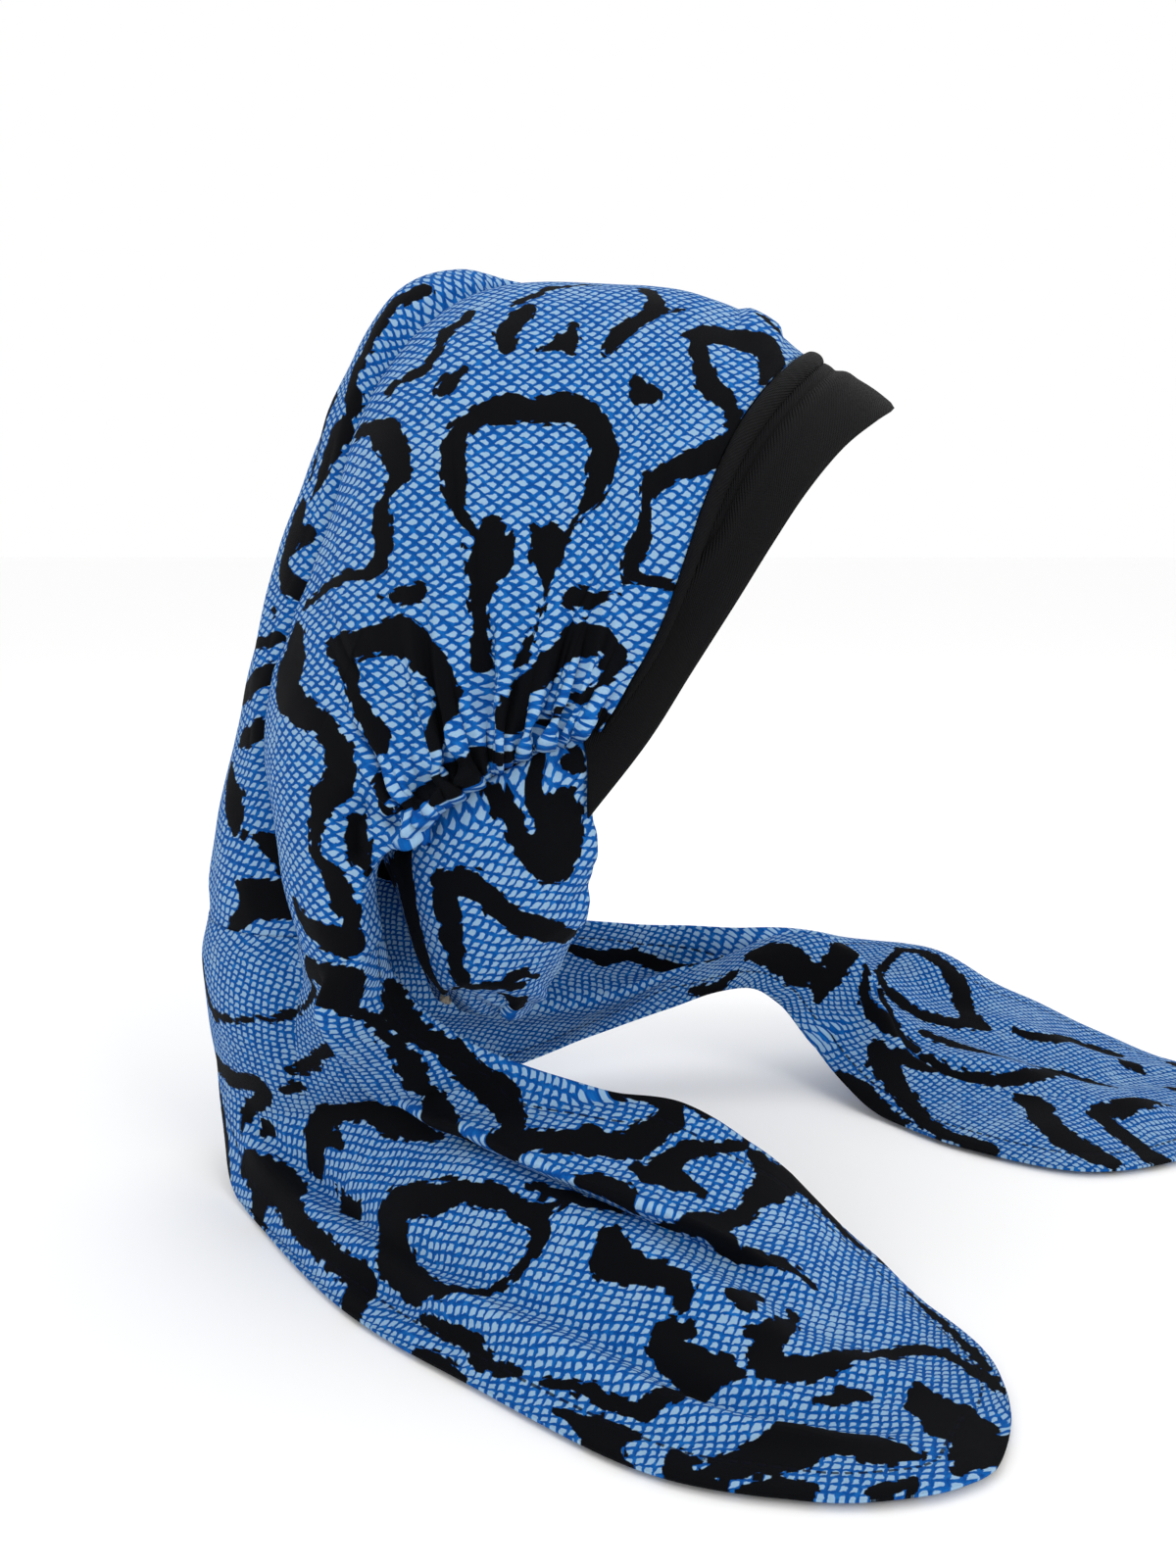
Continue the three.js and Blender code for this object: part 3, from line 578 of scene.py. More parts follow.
POUCH_STROKES = [
    stroke(103.5, -1.5, 1.8, 107.5, -3.5, 2.6, 110.5, -7, 2.6, 111, -12, 2.8, 113, -18, 3.5,
           116, -24, 4.5, 119, -29, 4.6),
    stroke(120.5, -1, 2.5, 118, -4.5, 2.8, 119.5, -9, 3, 122, -14, 5, 122, -20, 8,
           121.5, -26, 7.2, 121, -30, 4.6),
    stroke(122, -14, 4, 127, -12, 4, 129, -19, 3.4, 127.5, -25, 3),
    stroke(128, -3.5, 1, 131.5, -4.5, 2, 134, -6, 1.2),
    stroke(84, -15.5, 2.5, 88, -17.5, 3.5, 95, -20.5, 4.2, 98.5, -27, 3, 101.5, -34.5, 3.3,
           107, -41.5, 3.8, 112, -49.5, 3.8, 118, -56.5, 3, 122, -60, 2.5),
    stroke(88, -17, 3.5, 85, -22, 4.2, 84, -26, 4.8, 85, -30.5, 3.4, 82, -34, 4.8,
           83, -38.5, 3.3, 79.5, -42.5, 3.4, 80, -47.5, 3.2, 78, -51, 1),
    # Round the drawn-in arch of the hem: partly the print's black, partly painted shade of its
    # opening
    stroke(88, -58, 2, 94, -57, 3, 98, -60, 2.4, 99, -66, 1.6),
    # Partly the print's black, partly painted shade of the hollow between the drape and the pouch
    stroke(72, -3, 3, 66, -12, 7, 61, -24, 9, 58, -36, 9, 58, -50, 7),
    # This stroke and the next edge the hem's arch: partly the print's black, partly painted shade
    # of its opening
    stroke(64, -57, 3, 72, -56, 4, 80, -55, 4, 88, -57, 3, 92, -63, 2.4),
    stroke(84, -66, 2, 86, -72, 3.5, 84, -78, 3),
    stroke(60, -8, 2, 52, -13, 3, 44, -14, 4.5, 36, -20, 3.5, 34, -28, 2.5, 40, -35, 2),
    stroke(64, -30, 1.5, 58, -36, 3.5, 50, -40, 4.5, 42, -48, 3, 33, -50, 2),
    stroke(20, -2, 2, 14, -10, 4, 16, -20, 5, 8, -27, 3.5, 0, -26, 3, -9, -20, 2),
    stroke(22, -42, 2, 14, -46, 4, 4, -44, 3, -6, -50, 4.5, -16, -52, 2),
    stroke(-14, -4, 2, -22, -12, 4.5, -32, -16, 3, -40, -26, 4, -38, -36, 2.5),
    stroke(-28, -44, 2, -36, -50, 3.5, -48, -48, 4, -56, -38, 3, -54, -28, 1.6),
    stroke(-52, -2, 3, -60, -10, 4.5, -70, -12, 3, -78, -20, 4.5, -80, -32, 3, -72, -42, 2),
    stroke(-88, -4, 2.5, -96, -12, 4.5, -98, -24, 5.5, -106, -34, 3.5, -104, -46, 2),
    stroke(-112, -6, 2, -118, -14, 5, -126, -16, 3, -132, -28, 2),
]


@dataclass(frozen=True)
class Fold:
    """A ridge, or a valley where its height is below zero, along a line on the cloth."""

    path: tuple[tuple[float, float], ...]
    height: float
    width: float
    fade: float = 4.0
    held: float = 0.15

    def lift(self, p: Array, q: Array) -> Array:
        """How far the fold lifts each cloth point: a bell across it, easing out at both ends.

        Args:
            p: The cloth's first coordinate.
            q: The cloth's second coordinate.

        Returns:
            The lift in millimetres.
        """
        total = sum(math.dist(a, b) for a, b in zip(self.path[:-1], self.path[1:]))
        off, place = to_path(p, q, self.path)
        share = place / total
        ends = ease(share * self.fade + self.held) * ease((1.0 - share) * self.fade + self.held)
        return self.height * bump(off / self.width) * ends


# ------------------------------------------------------------------ sheets of cloth
SIDES = ("first_row", "last_row", "first_column", "last_column")


@dataclass
class Patch:
    """A grid of cloth points in millimetres, with the cloth coordinates printed on it.

    The numbers of rows and of columns are odd. The grid's own outer face is the one where the
    step along the rows crossed with the step along the columns points out; flip turns it round.
    """

    points: Array
    cloth: Array
    flip: bool = False
    print_and_shade: Array | None = None
    stitch: Array | None = None
    wall: Array | float = 1.2
    ids: Array | None = None
    rims: list[Array] | None = None

    def edge(self, side: str, start: int = 0) -> Array:
        """The point numbers along one side of the grid, with the cloth on the left."""
        return {
            "first_row": self.ids[0, ::-1],
            "last_row": self.ids[-1],
            "first_column": self.ids[start:, 0],
            "last_column": self.ids[::-1, -1],
        }[side]

    def quads(self, step: int = 1) -> Array:
        """The four corners of each face of every step-th row and column."""
        ids = self.ids[::step, ::step]
        faces = np.stack([ids[:-1, :-1], ids[1:, :-1], ids[1:, 1:], ids[:-1, 1:]], -1)
        faces = faces.reshape(-1, 4)
        return faces[:, ::-1] if self.flip else faces


def cloth_piece(name: str, patches: list[Patch], back_step: int = 2) -> bpy.types.Object:
    """Turns patches into one closed cloth wall.

    The outer face has every point of the grids. The inner face, a wall's thickness behind it,
    has every second one or every one, and each free edge is closed by a strip between the two.

    Args:
        name: The piece's name.
        patches: The grids. Point numbers are given out here unless a patch has its own.
        back_step: Which points the inner face has: 2 for every second one, 1 for every one.

    Returns:
        The closed wall, with its cloth coordinates and its black shapes, print and in places
        painted shade, as attributes.
    """
    start = 0
    for patch in patches:
        shape = patch.points.shape[:2]
        if patch.ids is None:
            patch.ids = start + np.arange(shape[0] * shape[1]).reshape(shape)
        if patch.rims is None:
            patch.rims = [patch.edge(side) for side in SIDES]
        if patch.print_and_shade is None:
            patch.print_and_shade = np.full(shape, NO_PRINT)
        if patch.stitch is None:
            patch.stitch = np.full((*shape, 2), NO_PRINT)
        start += shape[0] * shape[1]
    points = np.concatenate([patch.points.reshape(-1, 3) for patch in patches])
    cloth = np.concatenate([patch.cloth.reshape(-1, 2) for patch in patches])
    print_and_shade = np.concatenate([patch.print_and_shade.ravel() for patch in patches])
    stitch = np.concatenate([patch.stitch.reshape(-1, 2) for patch in patches])
    wall = np.concatenate(
        [np.broadcast_to(patch.wall, patch.points.shape[:2]).ravel() for patch in patches]
    )
    outer = np.concatenate([patch.quads() for patch in patches])
    inner = start + np.concatenate([patch.quads(back_step) for patch in patches])[:, ::-1]
    strips = []
    for patch in patches:
        for line in patch.rims:
            a, b = line[:-back_step:back_step], line[back_step::back_step]
            middle = [line[1:-1:2]] if back_step == 2 else []
            strip = np.stack([b, *middle, a, a + start, b + start], -1)
            strips.append(strip[:, ::-1] if patch.flip else strip)
    rim = np.concatenate(strips)
    normals = np.zeros_like(points)
    first, second, third, fourth = (points[outer[:, k]] for k in range(4))
    cross = np.cross(third - first, fourth - second)
    for k in range(4):
        for axis in range(3):
            normals[:, axis] += np.bincount(outer[:, k], cross[:, axis], len(points))
    normals /= np.maximum(np.linalg.norm(normals, axis=1, keepdims=True), TINY)
    off = normals * wall[:, None] / 2
    loops = np.concatenate([outer.ravel(), inner.ravel(), rim.ravel()])
    used, loops = np.unique(loops, return_inverse=True)
    sizes = [np.full(len(outer) + len(inner), 4), np.full(len(rim), rim.shape[1])]
    sizes = np.concatenate(sizes)
    both = np.concatenate([points + off, points - off])
    mesh = make_mesh(name, both[used] * MM, loops, sizes)
    for key, values in (("cloth", cloth), ("print_and_shade", print_and_shade), ("stitch", stitch)):
        put_attribute(mesh, key, np.concatenate([values, values])[used])
    return link(name, mesh)


def make_mesh(name: str, points: Array, loops: Array, sizes: Array) -> bpy.types.Mesh:
    """Makes a smooth-shaded mesh from arrays.

    Args:
        name: The mesh's name.
        points: The points, in metres.
        loops: The corners of all the faces, one after another.
        sizes: How many corners each face has.

    Returns:
        The mesh.
    """
    mesh = bpy.data.meshes.new(name)
    mesh.vertices.add(len(points))
    mesh.vertices.foreach_set("co", np.ascontiguousarray(points, np.float32).ravel())
    mesh.loops.add(len(loops))
    mesh.loops.foreach_set("vertex_index", np.ascontiguousarray(loops, np.int32).ravel())
    mesh.polygons.add(len(sizes))
    starts = np.concatenate([[0], np.cumsum(sizes)[:-1]])
    mesh.polygons.foreach_set("loop_start", starts.astype(np.int32))
    mesh.polygons.foreach_set("use_smooth", np.ones(len(sizes), bool))
    mesh.update(calc_edges=True)
    mesh.validate()
    return mesh


def put_attribute(mesh: bpy.types.Mesh, name: str, values: Array) -> None:
    """Stores one number, or two as a vector that ends in 0, for each point of a mesh.

    Args:
        mesh: The mesh.
        name: The attribute's name.
        values: One row for each point.
    """
    kind, key = ("FLOAT", "value") if values.ndim == 1 else ("FLOAT_VECTOR", "vector")
    if values.ndim == 2:
        values = np.pad(values, ((0, 0), (0, 1)))
    attribute = mesh.attributes.new(name, kind, "POINT")
    attribute.data.foreach_set(key, np.ascontiguousarray(values, np.float32).ravel())


def link(name: str, mesh: bpy.types.Mesh) -> bpy.types.Object:
    """Puts a mesh in the scene as an object at the origin.

    Args:
        name: The object's name.
        mesh: The mesh.

    Returns:
        The object.
    """
    piece = bpy.data.objects.new(name, mesh)
    bpy.context.scene.collection.objects.link(piece)
    return piece


def share_grid(rows: int, columns: int) -> tuple[Array, Array]:
    """Two parameters from 0 to 1 on a grid of that many faces each way.

    Args:
        rows: The faces down.
        columns: The faces along.

    Returns:
        The share down and the share along, each a whole grid.
    """
    return np.meshgrid(
        np.linspace(0.0, 1.0, rows + 1), np.linspace(0.0, 1.0, columns + 1), indexing="ij"
    )


# ------------------------------------------------------------------ the cap's sections
SECTION = "hubX hubZ half square curl lip bow seamX seamZ seamY"


def section_point(row: dict[str, Array], turn: Array, side: Array | float) -> Array:
    """A point of a cap section.

    The section is a superellipse about the hub at the ear. Its reach is towards the seam point,
    its half width is across, and turn is the angle from the middle of the back. Past a quarter
    turn the cloth curls under and reaches forward by the lip.

    Args:
        row: The section's sizes.
        turn: The angle round the section, in radians.
        side: The sign of Y.

    Returns:
        The points, with a last axis of three.
    """
    power = 2.0 / row["square"]
    across = (row["seamY"] / row["half"]) ** row["square"]
    reach = np.hypot(row["seamX"] - row["hubX"], row["seamZ"] - row["hubZ"])
    reach = reach / (1.0 - across) ** (1.0 / row["square"])
    angle = np.arctan2(row["seamZ"] - row["hubZ"], row["seamX"] - row["hubX"])
    cosine = np.cos(turn)
    out = np.sign(cosine) * np.abs(cosine) ** power * np.where(cosine < 0, row["lip"], reach)
    back = row["bow"] * np.sin(2 * turn) ** 2
    wide = side * row["half"] * np.abs(np.sin(turn)) ** power
    return np.stack(
        [
            row["hubX"] + np.cos(angle) * out - np.sin(angle) * back,
            wide,
            row["hubZ"] + np.sin(angle) * out + np.cos(angle) * back,
        ],
        -1,
    )


CAP_ROWS = [
    (-14, -135, 79, 2.0, 90, 0, 13, 54, -22, 0, 54, -22),
    (-20, -136, 81, 2.0, 90, 0, 8, 37, -10, 0, 37, -10),
    (-27, -139, 83, 2.05, 90, 0, 3, 14, -2, 0, 14, -2),
    (-33, -141, 84, 2.1, 90, 0, 0, -12, 0, 0, -12, 0),
    (-39, -144, 85, 2.15, 90, 0, 0, -36, 0, 0, -36, 0),
    (-44, -147, 86, 2.2, 90, 0, 0, -54, -6, 14, -57, 4),
    (-49, -150, 86, 2.2, 90, 0, 0, -72, -22, 26, -78, -4),
    (-53, -153, 86, 2.2, 90, 0, 0, -86, -46, 32, -97, -36),
    (-56, -156, 86, 2.2, 90, 0, 0, -96, -79, 35, -111, -70),
    (-59, -159, 86, 2.2, 90, 0, 0, -106, -102, 36, -120, -98),
    (-64, -162, 86, 2.2, 96, 4, 0, -115, -128, 36, -129, -127),
    (-71, -165, 86, 2.2, 112, 4, 0, -117, -148, 37, -134, -149),
    (-78, -172, 86, 2.2, 122, 3, 0, -114, -168, 40, -139, -170),
    (-82, -185, 86, 2.2, 131, 4, 0, -111, -188, 43, -142, -188),
    (-83, -200, 86, 2.2, 133, 7, 0, -106, -204, 46, -144, -205),
]
TUCK_ROWS = [
    (0.9, 0.35, 2.6, 0.3),
    (2.0, 0.3, 2.8, 0.34),
    (3.1, 0.35, 3.0, 0.4),
    (4.3, 0.4, 3.2, 0.42),
    (5.8, 0.45, 3.0, 0.4),
    (7.4, 0.5, 3.2, 0.42),
    (9.0, 0.5, 3.0, 0.4),
    (10.6, 0.5, 3.4, 0.45),
    (12.2, 0.55, 2.4, 0.5),
]


@dataclass(frozen=True)
class Cap:
    """The shape that the crown and the back panel share: one row for each section, from the band
    seam over the head and down the drape."""

    sections: Table = Table.of(SECTION + " crestX crestZ", CAP_ROWS)
    tucks: Table = Table.of("row wide deep reach", TUCK_ROWS)
    notch: int = 4
    panel_square: float = 2.1
    forward: float = 4.3
    forward_rows: float = 1.3
    forward_from: float = 0.45
    ear_from: float = 0.8
    ear_share: float = 0.3

    def row(self, at: Array) -> dict[str, Array]:
        """The sizes of the section at a fractional row. The panel has no width above its point.

        Args:
            at: Fractional rows.

        Returns:
            One array for each size.
        """
        row = self.sections.read(at)
        row["seamY"] = np.where(at > self.notch, np.maximum(row["seamY"], 0.0), 0.0)
        row["lip"] = np.maximum(row["lip"], 0.0)
        return row

    def tuck_height(self, at: Array, v: Array) -> Array:
        """The broad tucks that fan out from the ear: a bell across each, fading up its reach.

        Args:
            at: Fractional rows.
            v: From the seam, 0, to the ear, 1.

        Returns:
            The height in millimetres.
        """
        total = np.zeros(np.broadcast(at, v).shape)
        for row, wide, deep, reach in self.tucks.rows:
            total += deep * bump((at - row) / wide) * ease((v - 1 + reach) / reach)
        return total

    def surface(self, at: Array, v: Array, side: Array | float) -> Array:
        """A point of the crown: v runs from the seam, 0, to the ear, 1. At the band the temples
        stand a little forward.

        Args:
            at: Fractional rows.
            v: From the seam, 0, to the ear, 1.
            side: The sign of Y.

        Returns:
            The points, with a last axis of three.
        """
        at, v, side = np.broadcast_arrays(at, v, side)
        row = self.row(at)
        start = np.arcsin((row["seamY"] / row["half"]) ** (row["square"] / 2))
        point = section_point(row, mix(start, np.radians(row["curl"]), v), side)
        point[..., 1] += side * self.tuck_height(at, v)
        near_ear = ease((v - self.ear_from) / 0.2)
        low = ease(v / self.forward_from) * mix(1.0, self.ear_share, near_ear)
        point[..., 0] += self.forward * low * (1 - ease(at / self.forward_rows))
        return point

    def panel(self, at: Array, v: Array) -> Array:
        """A point of the back panel: v runs from the right seam, -1, to the left, 1, and the
        panel rises from its seams to its crest on a superellipse.

        Args:
            at: Fractional rows.
            v: From the right seam, -1, to the left, 1.

        Returns:
            The points, with a last axis of three.
        """
        at, v = np.broadcast_arrays(at, v)
        row = self.row(at)
        rise = np.maximum(1 - np.abs(v) ** self.panel_square, 0.0) ** (1 / self.panel_square)
        return np.stack(
            [
                mix(row["seamX"], row["crestX"], rise),
                np.maximum(row["seamY"] - 0.2, 0.4) * v,
                mix(row["seamZ"], row["crestZ"], rise),
            ],
            -1,
        )


# ------------------------------------------------------------------ finishes
class Nodes:
    """A short way to write a material's nodes: each call adds one and returns its output."""

    def __init__(self, name: str) -> None:
        """Starts a material with a Principled shader."""
        self.material = bpy.data.materials.new(name)
        self.material.use_nodes = True
        self.tree = self.material.node_tree
        self.shader = next(n for n in self.tree.nodes if n.type == "BSDF_PRINCIPLED")

    def put(self, socket: bpy.types.NodeSocket, value: object) -> None:
        """Links an output to a socket, or sets the socket's own value."""
        if isinstance(value, bpy.types.NodeSocket):
            self.tree.links.new(value, socket)
        else:
            socket.default_value = value

    def add(self, kind: str, inputs: dict, **settings: object) -> bpy.types.Node:
        """Adds a node.

        Args:
            kind: The node's type.
            inputs: Values or outputs for its sockets, by name or number.
            settings: The node's own settings.

        Returns:
            The node.
        """
        node = self.tree.nodes.new(kind)
        for key, value in settings.items():
            setattr(node, key, value)
        for key, value in inputs.items():
            self.put(node.inputs[key], value)
        return node

    def math(self, operation: str, *values: object) -> bpy.types.NodeSocket:
        """One step of arithmetic on numbers."""
        return self.add("ShaderNodeMath", dict(enumerate(values)), operation=operation).outputs[0]

    def wave(self, value: object, length: float) -> bpy.types.NodeSocket:
        """A sine wave of that length."""
        return self.math("SINE", self.math("MULTIPLY", value, 2 * math.pi / length))

    def attribute(self, name: str, output: str) -> bpy.types.NodeSocket:
        """Reads an attribute of the piece's mesh."""
        return self.add("ShaderNodeAttribute", {}, attribute_name=name).outputs[output]

    def split(self, vector: bpy.types.NodeSocket) -> tuple:
        """The three parts of a vector."""
        return tuple(self.add("ShaderNodeSeparateXYZ", {0: vector}).outputs)

    def join(self, x: object, y: object, z: object = 0.0) -> bpy.types.NodeSocket:
        """A vector of three parts."""
        return self.add("ShaderNodeCombineXYZ", {0: x, 1: y, 2: z}).outputs[0]

    def noise(self, vector: object, scale: float, detail: float = 2.0) -> bpy.types.NodeSocket:
        """Soft noise on a vector, from 0 to 1."""
        inputs = {"Vector": vector, "Scale": scale, "Detail": detail}
        return self.add("ShaderNodeTexNoise", inputs).outputs["Fac"]

    def stray(self, vector: object, scale: float, far: float) -> bpy.types.NodeSocket:
        """The vector moved about by soft noise, by up to half of far each way."""
        inputs = {"Vector": vector, "Scale": scale, "Detail": 1.0}
        cloud = self.add("ShaderNodeTexNoise", inputs).outputs["Color"]
        moved = {0: cloud, 1: (far, far, 0.0), 2: vector}
        return self.add("ShaderNodeVectorMath", moved, operation="MULTIPLY_ADD").outputs[0]

    def step(self, value: object, low: float, high: float) -> bpy.types.NodeSocket:
        """A soft step from 0 at low to 1 at high."""
        inputs = {"Value": value, "From Min": low, "From Max": high}
        node = self.add("ShaderNodeMapRange", inputs, interpolation_type="SMOOTHSTEP")
        return node.outputs[0]

    def blend(self, share: object, a: object, b: object) -> bpy.types.NodeSocket:
        """The colour a share of the way from a to b.

        Args:
            share: The share.
            a: The first colour.
            b: The second colour.

        Returns:
            The colour.
        """
        node = self.add("ShaderNodeMix", {}, data_type="RGBA")
        self.put(node.inputs[0], share)
        self.put(node.inputs[6], a)
        self.put(node.inputs[7], b)
        return node.outputs[2]

    def bumped(self, height: object, distance: float) -> None:
        """Gives the shader a relief of that height, in metres for each unit."""
        inputs = {"Height": height, "Strength": 1.0, "Distance": distance}
        node = self.add("ShaderNodeBump", inputs)
        self.put(self.shader.inputs["Normal"], node.outputs[0])

    def set(self, **values: object) -> None:
        """Sets or links the shader's sockets, with _ for a space in their names."""
        for key, value in values.items():
            self.put(self.shader.inputs[key.replace("_", " ")], value)


def colour(red: float, green: float, blue: float) -> tuple[float, float, float, float]:
    """A linear colour from its red, green and blue on a screen, each from 0 to 255.

    Args:
        red: The red part.
        green: The green part.
        blue: The blue part.

    Returns:
        The linear red, green and blue, and 1.
    """
    parts = [c / 255 for c in (red, green, blue)]
    linear = [c / 12.92 if c <= 0.04045 else ((c + 0.055) / 1.055) ** 2.4 for c in parts]
    return (*linear, 1.0)


@dataclass(frozen=True)
class ScalePrint:
    """Thin woven cotton with a printed scale pattern: pale scales in a blue net, under black
    shapes, with the weave showing."""

    name: str = "printed_cotton"
    scale_wide: float = 4.5
    scale_high: float = 3.7
    pale: tuple = colour(158, 194, 222)
    blue: tuple = colour(3, 86, 165)
    bright: tuple = colour(20, 110, 192)
    line: tuple = colour(4, 60, 138)
    black: tuple = colour(2, 3, 7)
    thread: float = 0.36
    sewing: tuple = colour(4, 6, 20)
    stitch_in: float = 8.0
    stitch_long: float = 3.6
    slanting: float = 0.42
    rounded: float = 0.5
    size: float = 0.41
    size_range: float = 0.12
    patch_range: float = 0.1
    point: float = 0.2
    point_power: float = 5.0
    fray: float = 2.4
    fine_fray: float = 0.5
    scale_fray: float = 1.7

    def scales(self, n: Nodes, cloth: object) -> tuple:
        """The pale scales and the dark lines of the net.

        The net is two sets of slanting lines. In each diamond between them, x and y run from -1
        to 1, and a scale is the part nearer the middle than a limit that is longer towards -x,
        so it has a blunt end and a point. Half of the measure is round and half is slanting, so
        a scale's sides lie nearly along the net.

        Args:
            n: The material's nodes.
            cloth: The cloth coordinates.

        Returns:
            The share of scale, the share of line and the scale's own chance at each point.
        """
        p, q, _ = n.split(n.stray(n.stray(cloth, 0.09, 2.6), 0.8, 0.9))
        a = n.math("DIVIDE", p, self.scale_wide)
        b = n.math("DIVIDE", q, self.scale_high)
        first, second = n.math("ADD", a, b), n.math("SUBTRACT", a, b)
        i, j = n.math("FLOOR", first), n.math("FLOOR", second)
        f = n.math("SUBTRACT", n.math("SUBTRACT", first, i), 0.5)
        g = n.math("SUBTRACT", n.math("SUBTRACT", second, j), 0.5)
        x, y = n.math("ADD", f, g), n.math("SUBTRACT", f, g)
        chance = n.add("ShaderNodeTexWhiteNoise", {"Vector": n.join(i, j, 3.0)}).outputs[0]
        away = n.math("SQRT", n.math("MULTIPLY_ADD", y, y, n.math("MULTIPLY", x, x)))
        slant = n.math("ADD", n.math("ABSOLUTE", x), n.math("ABSOLUTE", y))
        away = n.math("MULTIPLY", away, self.rounded)
        away = n.math("MULTIPLY_ADD", slant, self.slanting, away)
        point = n.math("DIVIDE", n.math("MULTIPLY", x, -1.0), n.math("MAXIMUM", away, 0.01))
        point = n.math("POWER", n.math("MAXIMUM", point, 0.0), self.point_power)
        size = n.math("MULTIPLY_ADD", chance, self.size_range, self.size)
        broad = n.step(n.noise(cloth, 0.05, 1.0), 0.5, 0.7)
        size = n.math("MULTIPLY_ADD", broad, self.patch_range, size)
        limit = n.math("MULTIPLY_ADD", point, self.point, size)
        scale = n.step(n.math("SUBTRACT", limit, away), -0.05, 0.09)
        edge = n.math("MAXIMUM", n.math("ABSOLUTE", f), n.math("ABSOLUTE", g))
        return scale, n.step(edge, 0.38, 0.5), chance

    def make(self) -> bpy.types.Material:
        """Builds the material: net, scales, black shapes with frayed edges, then the stitches."""
        n = Nodes(self.name)
        cloth = n.attribute("cloth", "Vector")
        scale, line, chance = self.scales(n, cloth)
        ground = n.blend(n.math("MULTIPLY", line, 0.75), self.blue, self.line)
        ground = n.blend(n.step(n.noise(cloth, 0.35, 3.0), 0.45, 0.75), ground, self.bright)
        grain = n.noise(cloth, 2.6, 2.0)
        dyed = n.blend(scale, ground, self.pale)
        dyed = n.blend(n.math("MULTIPLY", grain, 0.24), dyed, self.blue)
        off = n.attribute("print_and_shade", "Fac")
        off = n.math("MULTIPLY_ADD", n.noise(cloth, 1.1, 2.0), self.fine_fray, off)
        off = n.math("MULTIPLY_ADD", n.noise(cloth, 0.2, 1.0), self.fray, off)
        off = n.math("MULTIPLY_ADD", n.math("SUBTRACT", chance, 0.5), self.scale_fray, off)
        # The black shapes: mostly the print's black, in a few places painted shade of hollows and
        # valleys
        dyed = n.blend(n.step(off, 1.5, 1.8), self.black, dyed)
        far, run, _ = n.split(n.attribute("stitch", "Vector"))
        off = n.math("ABSOLUTE", n.math("SUBTRACT", far, self.stitch_in))
        groove = n.step(off, 1.3, 0.2)
        dash = n.step(n.wave(run, self.stitch_long), -0.55, -0.25)
        sewn = n.math("MULTIPLY", n.step(off, 0.5, 0.25), dash)
        dyed = n.blend(n.math("MULTIPLY", sewn, 0.85), dyed, self.sewing)
        p, q, _ = n.split(cloth)
        threads = n.math("MULTIPLY", n.wave(p, self.thread), n.wave(q, self.thread))
        n.set(Base_Color=dyed, Roughness=0.85, Specular_IOR_Level=0.1)
        relief = n.math("MULTIPLY_ADD", grain, 1.5, threads)
        relief = n.math("MULTIPLY_ADD", groove, -6.0, relief)
        n.bumped(n.math("MULTIPLY_ADD", sewn, 5.0, relief), 0.00006)
        return n.material


@dataclass(frozen=True)
class BandKnit:
    """Fine black knit with a close slanting rib."""

    name: str = "black_knit"
    rib: float = 0.95
    slant: float = 0.55
    row: float = 0.6
    # dark is the knit's black, also standing as painted shade in the rib grooves; light is a
    # painted highlight on the rib crests
    dark: tuple = colour(2, 2, 4)
    light: tuple = colour(11, 11, 15)

    def make(self) -> bpy.types.Material:
        """Builds the material."""
        n = Nodes(self.name)
        p, q, _ = n.split(n.attribute("cloth", "Vector"))
        rib = n.wave(n.math("MULTIPLY_ADD", q, self.slant, p), self.rib)
        height = n.math("MULTIPLY_ADD", n.wave(q, self.row), 0.35, rib)
        worn = n.noise(n.attribute("cloth", "Vector"), 0.25, 3.0)
        # Painted highlight and shade: the colour steps from dark in the grooves to light on the
        # crests, with the rib's height
        base = n.blend(n.step(height, -1.2, 1.3), self.dark, self.light)
        base = n.blend(n.math("MULTIPLY", worn, 0.35), base, self.dark)
        n.set(Base_Color=base, Roughness=0.7, Specular_IOR_Level=0.14)
        n.bumped(height, 0.00016)
        return n.material


@dataclass(frozen=True)
class RibbedElastic:
    """Narrow cream elastic with ribs along its length."""

    name: str = "cream_elastic"
    rib: float = 1.1
    row: float = 0.8
    # Both are the one cream: dark is painted shade in the rib grooves, light a painted highlight
    # on the rib crests
    dark: tuple = colour(186, 170, 146)
    light: tuple = colour(232, 220, 200)

    def make(self) -> bpy.types.Material:
        """Builds the material."""
        n = Nodes(self.name)
        p, q, _ = n.split(n.attribute("cloth", "Vector"))
        height = n.math("MULTIPLY_ADD", n.wave(p, self.row), 0.4, n.wave(q, self.rib))
        # Painted highlight and shade: the colour steps from dark in the grooves to light on the
        # crests, with the rib's height
        base = n.blend(n.step(height, -1.3, 1.0), self.dark, self.light)
        n.set(Base_Color=base, Roughness=0.75)
        n.bumped(height, 0.00012)
        return n.material


# ------------------------------------------------------------------ the pieces
def finish(
    piece: bpy.types.Object, material: bpy.types.Material, slot: str, *nodes: str
) -> bpy.types.Object:
    """Dresses a piece, rides it on the body and lets it stand for its solids.

    Args:
        piece: The piece.
        material: Its material.
        slot: The record's slot of that finish. It is not used.
        nodes: The solids it stands for.

    Returns:
        The piece.
    """
    mesh = piece.data
    mesh.materials.append(material)
    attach(piece, "root")
    if nodes:
        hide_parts(*nodes)
    LOG.info("%s: %d points, %d faces", piece.name, len(mesh.vertices), len(mesh.polygons))
    return piece


CROWN_FOLDS = [
    Fold(((-43, -101), (-44, -118), (-47, -133)), -2.2, 3.0),
    Fold(((-8, -117), (-20, -127), (-30, -132), (-38, -135)), -2.5, 2.6),
    Fold(((-45, -137), (-61, -148), (-74, -162)), -5.0, 4.0),
    Fold(((-50, -146), (-62, -156), (-72, -166)), 3.5, 3.5),
    Fold(((-78, -150), (-84, -160), (-84, -172)), -5.0, 4.0),
    Fold(((40, 4), (56, 1)), 2.4, 14.0),
]


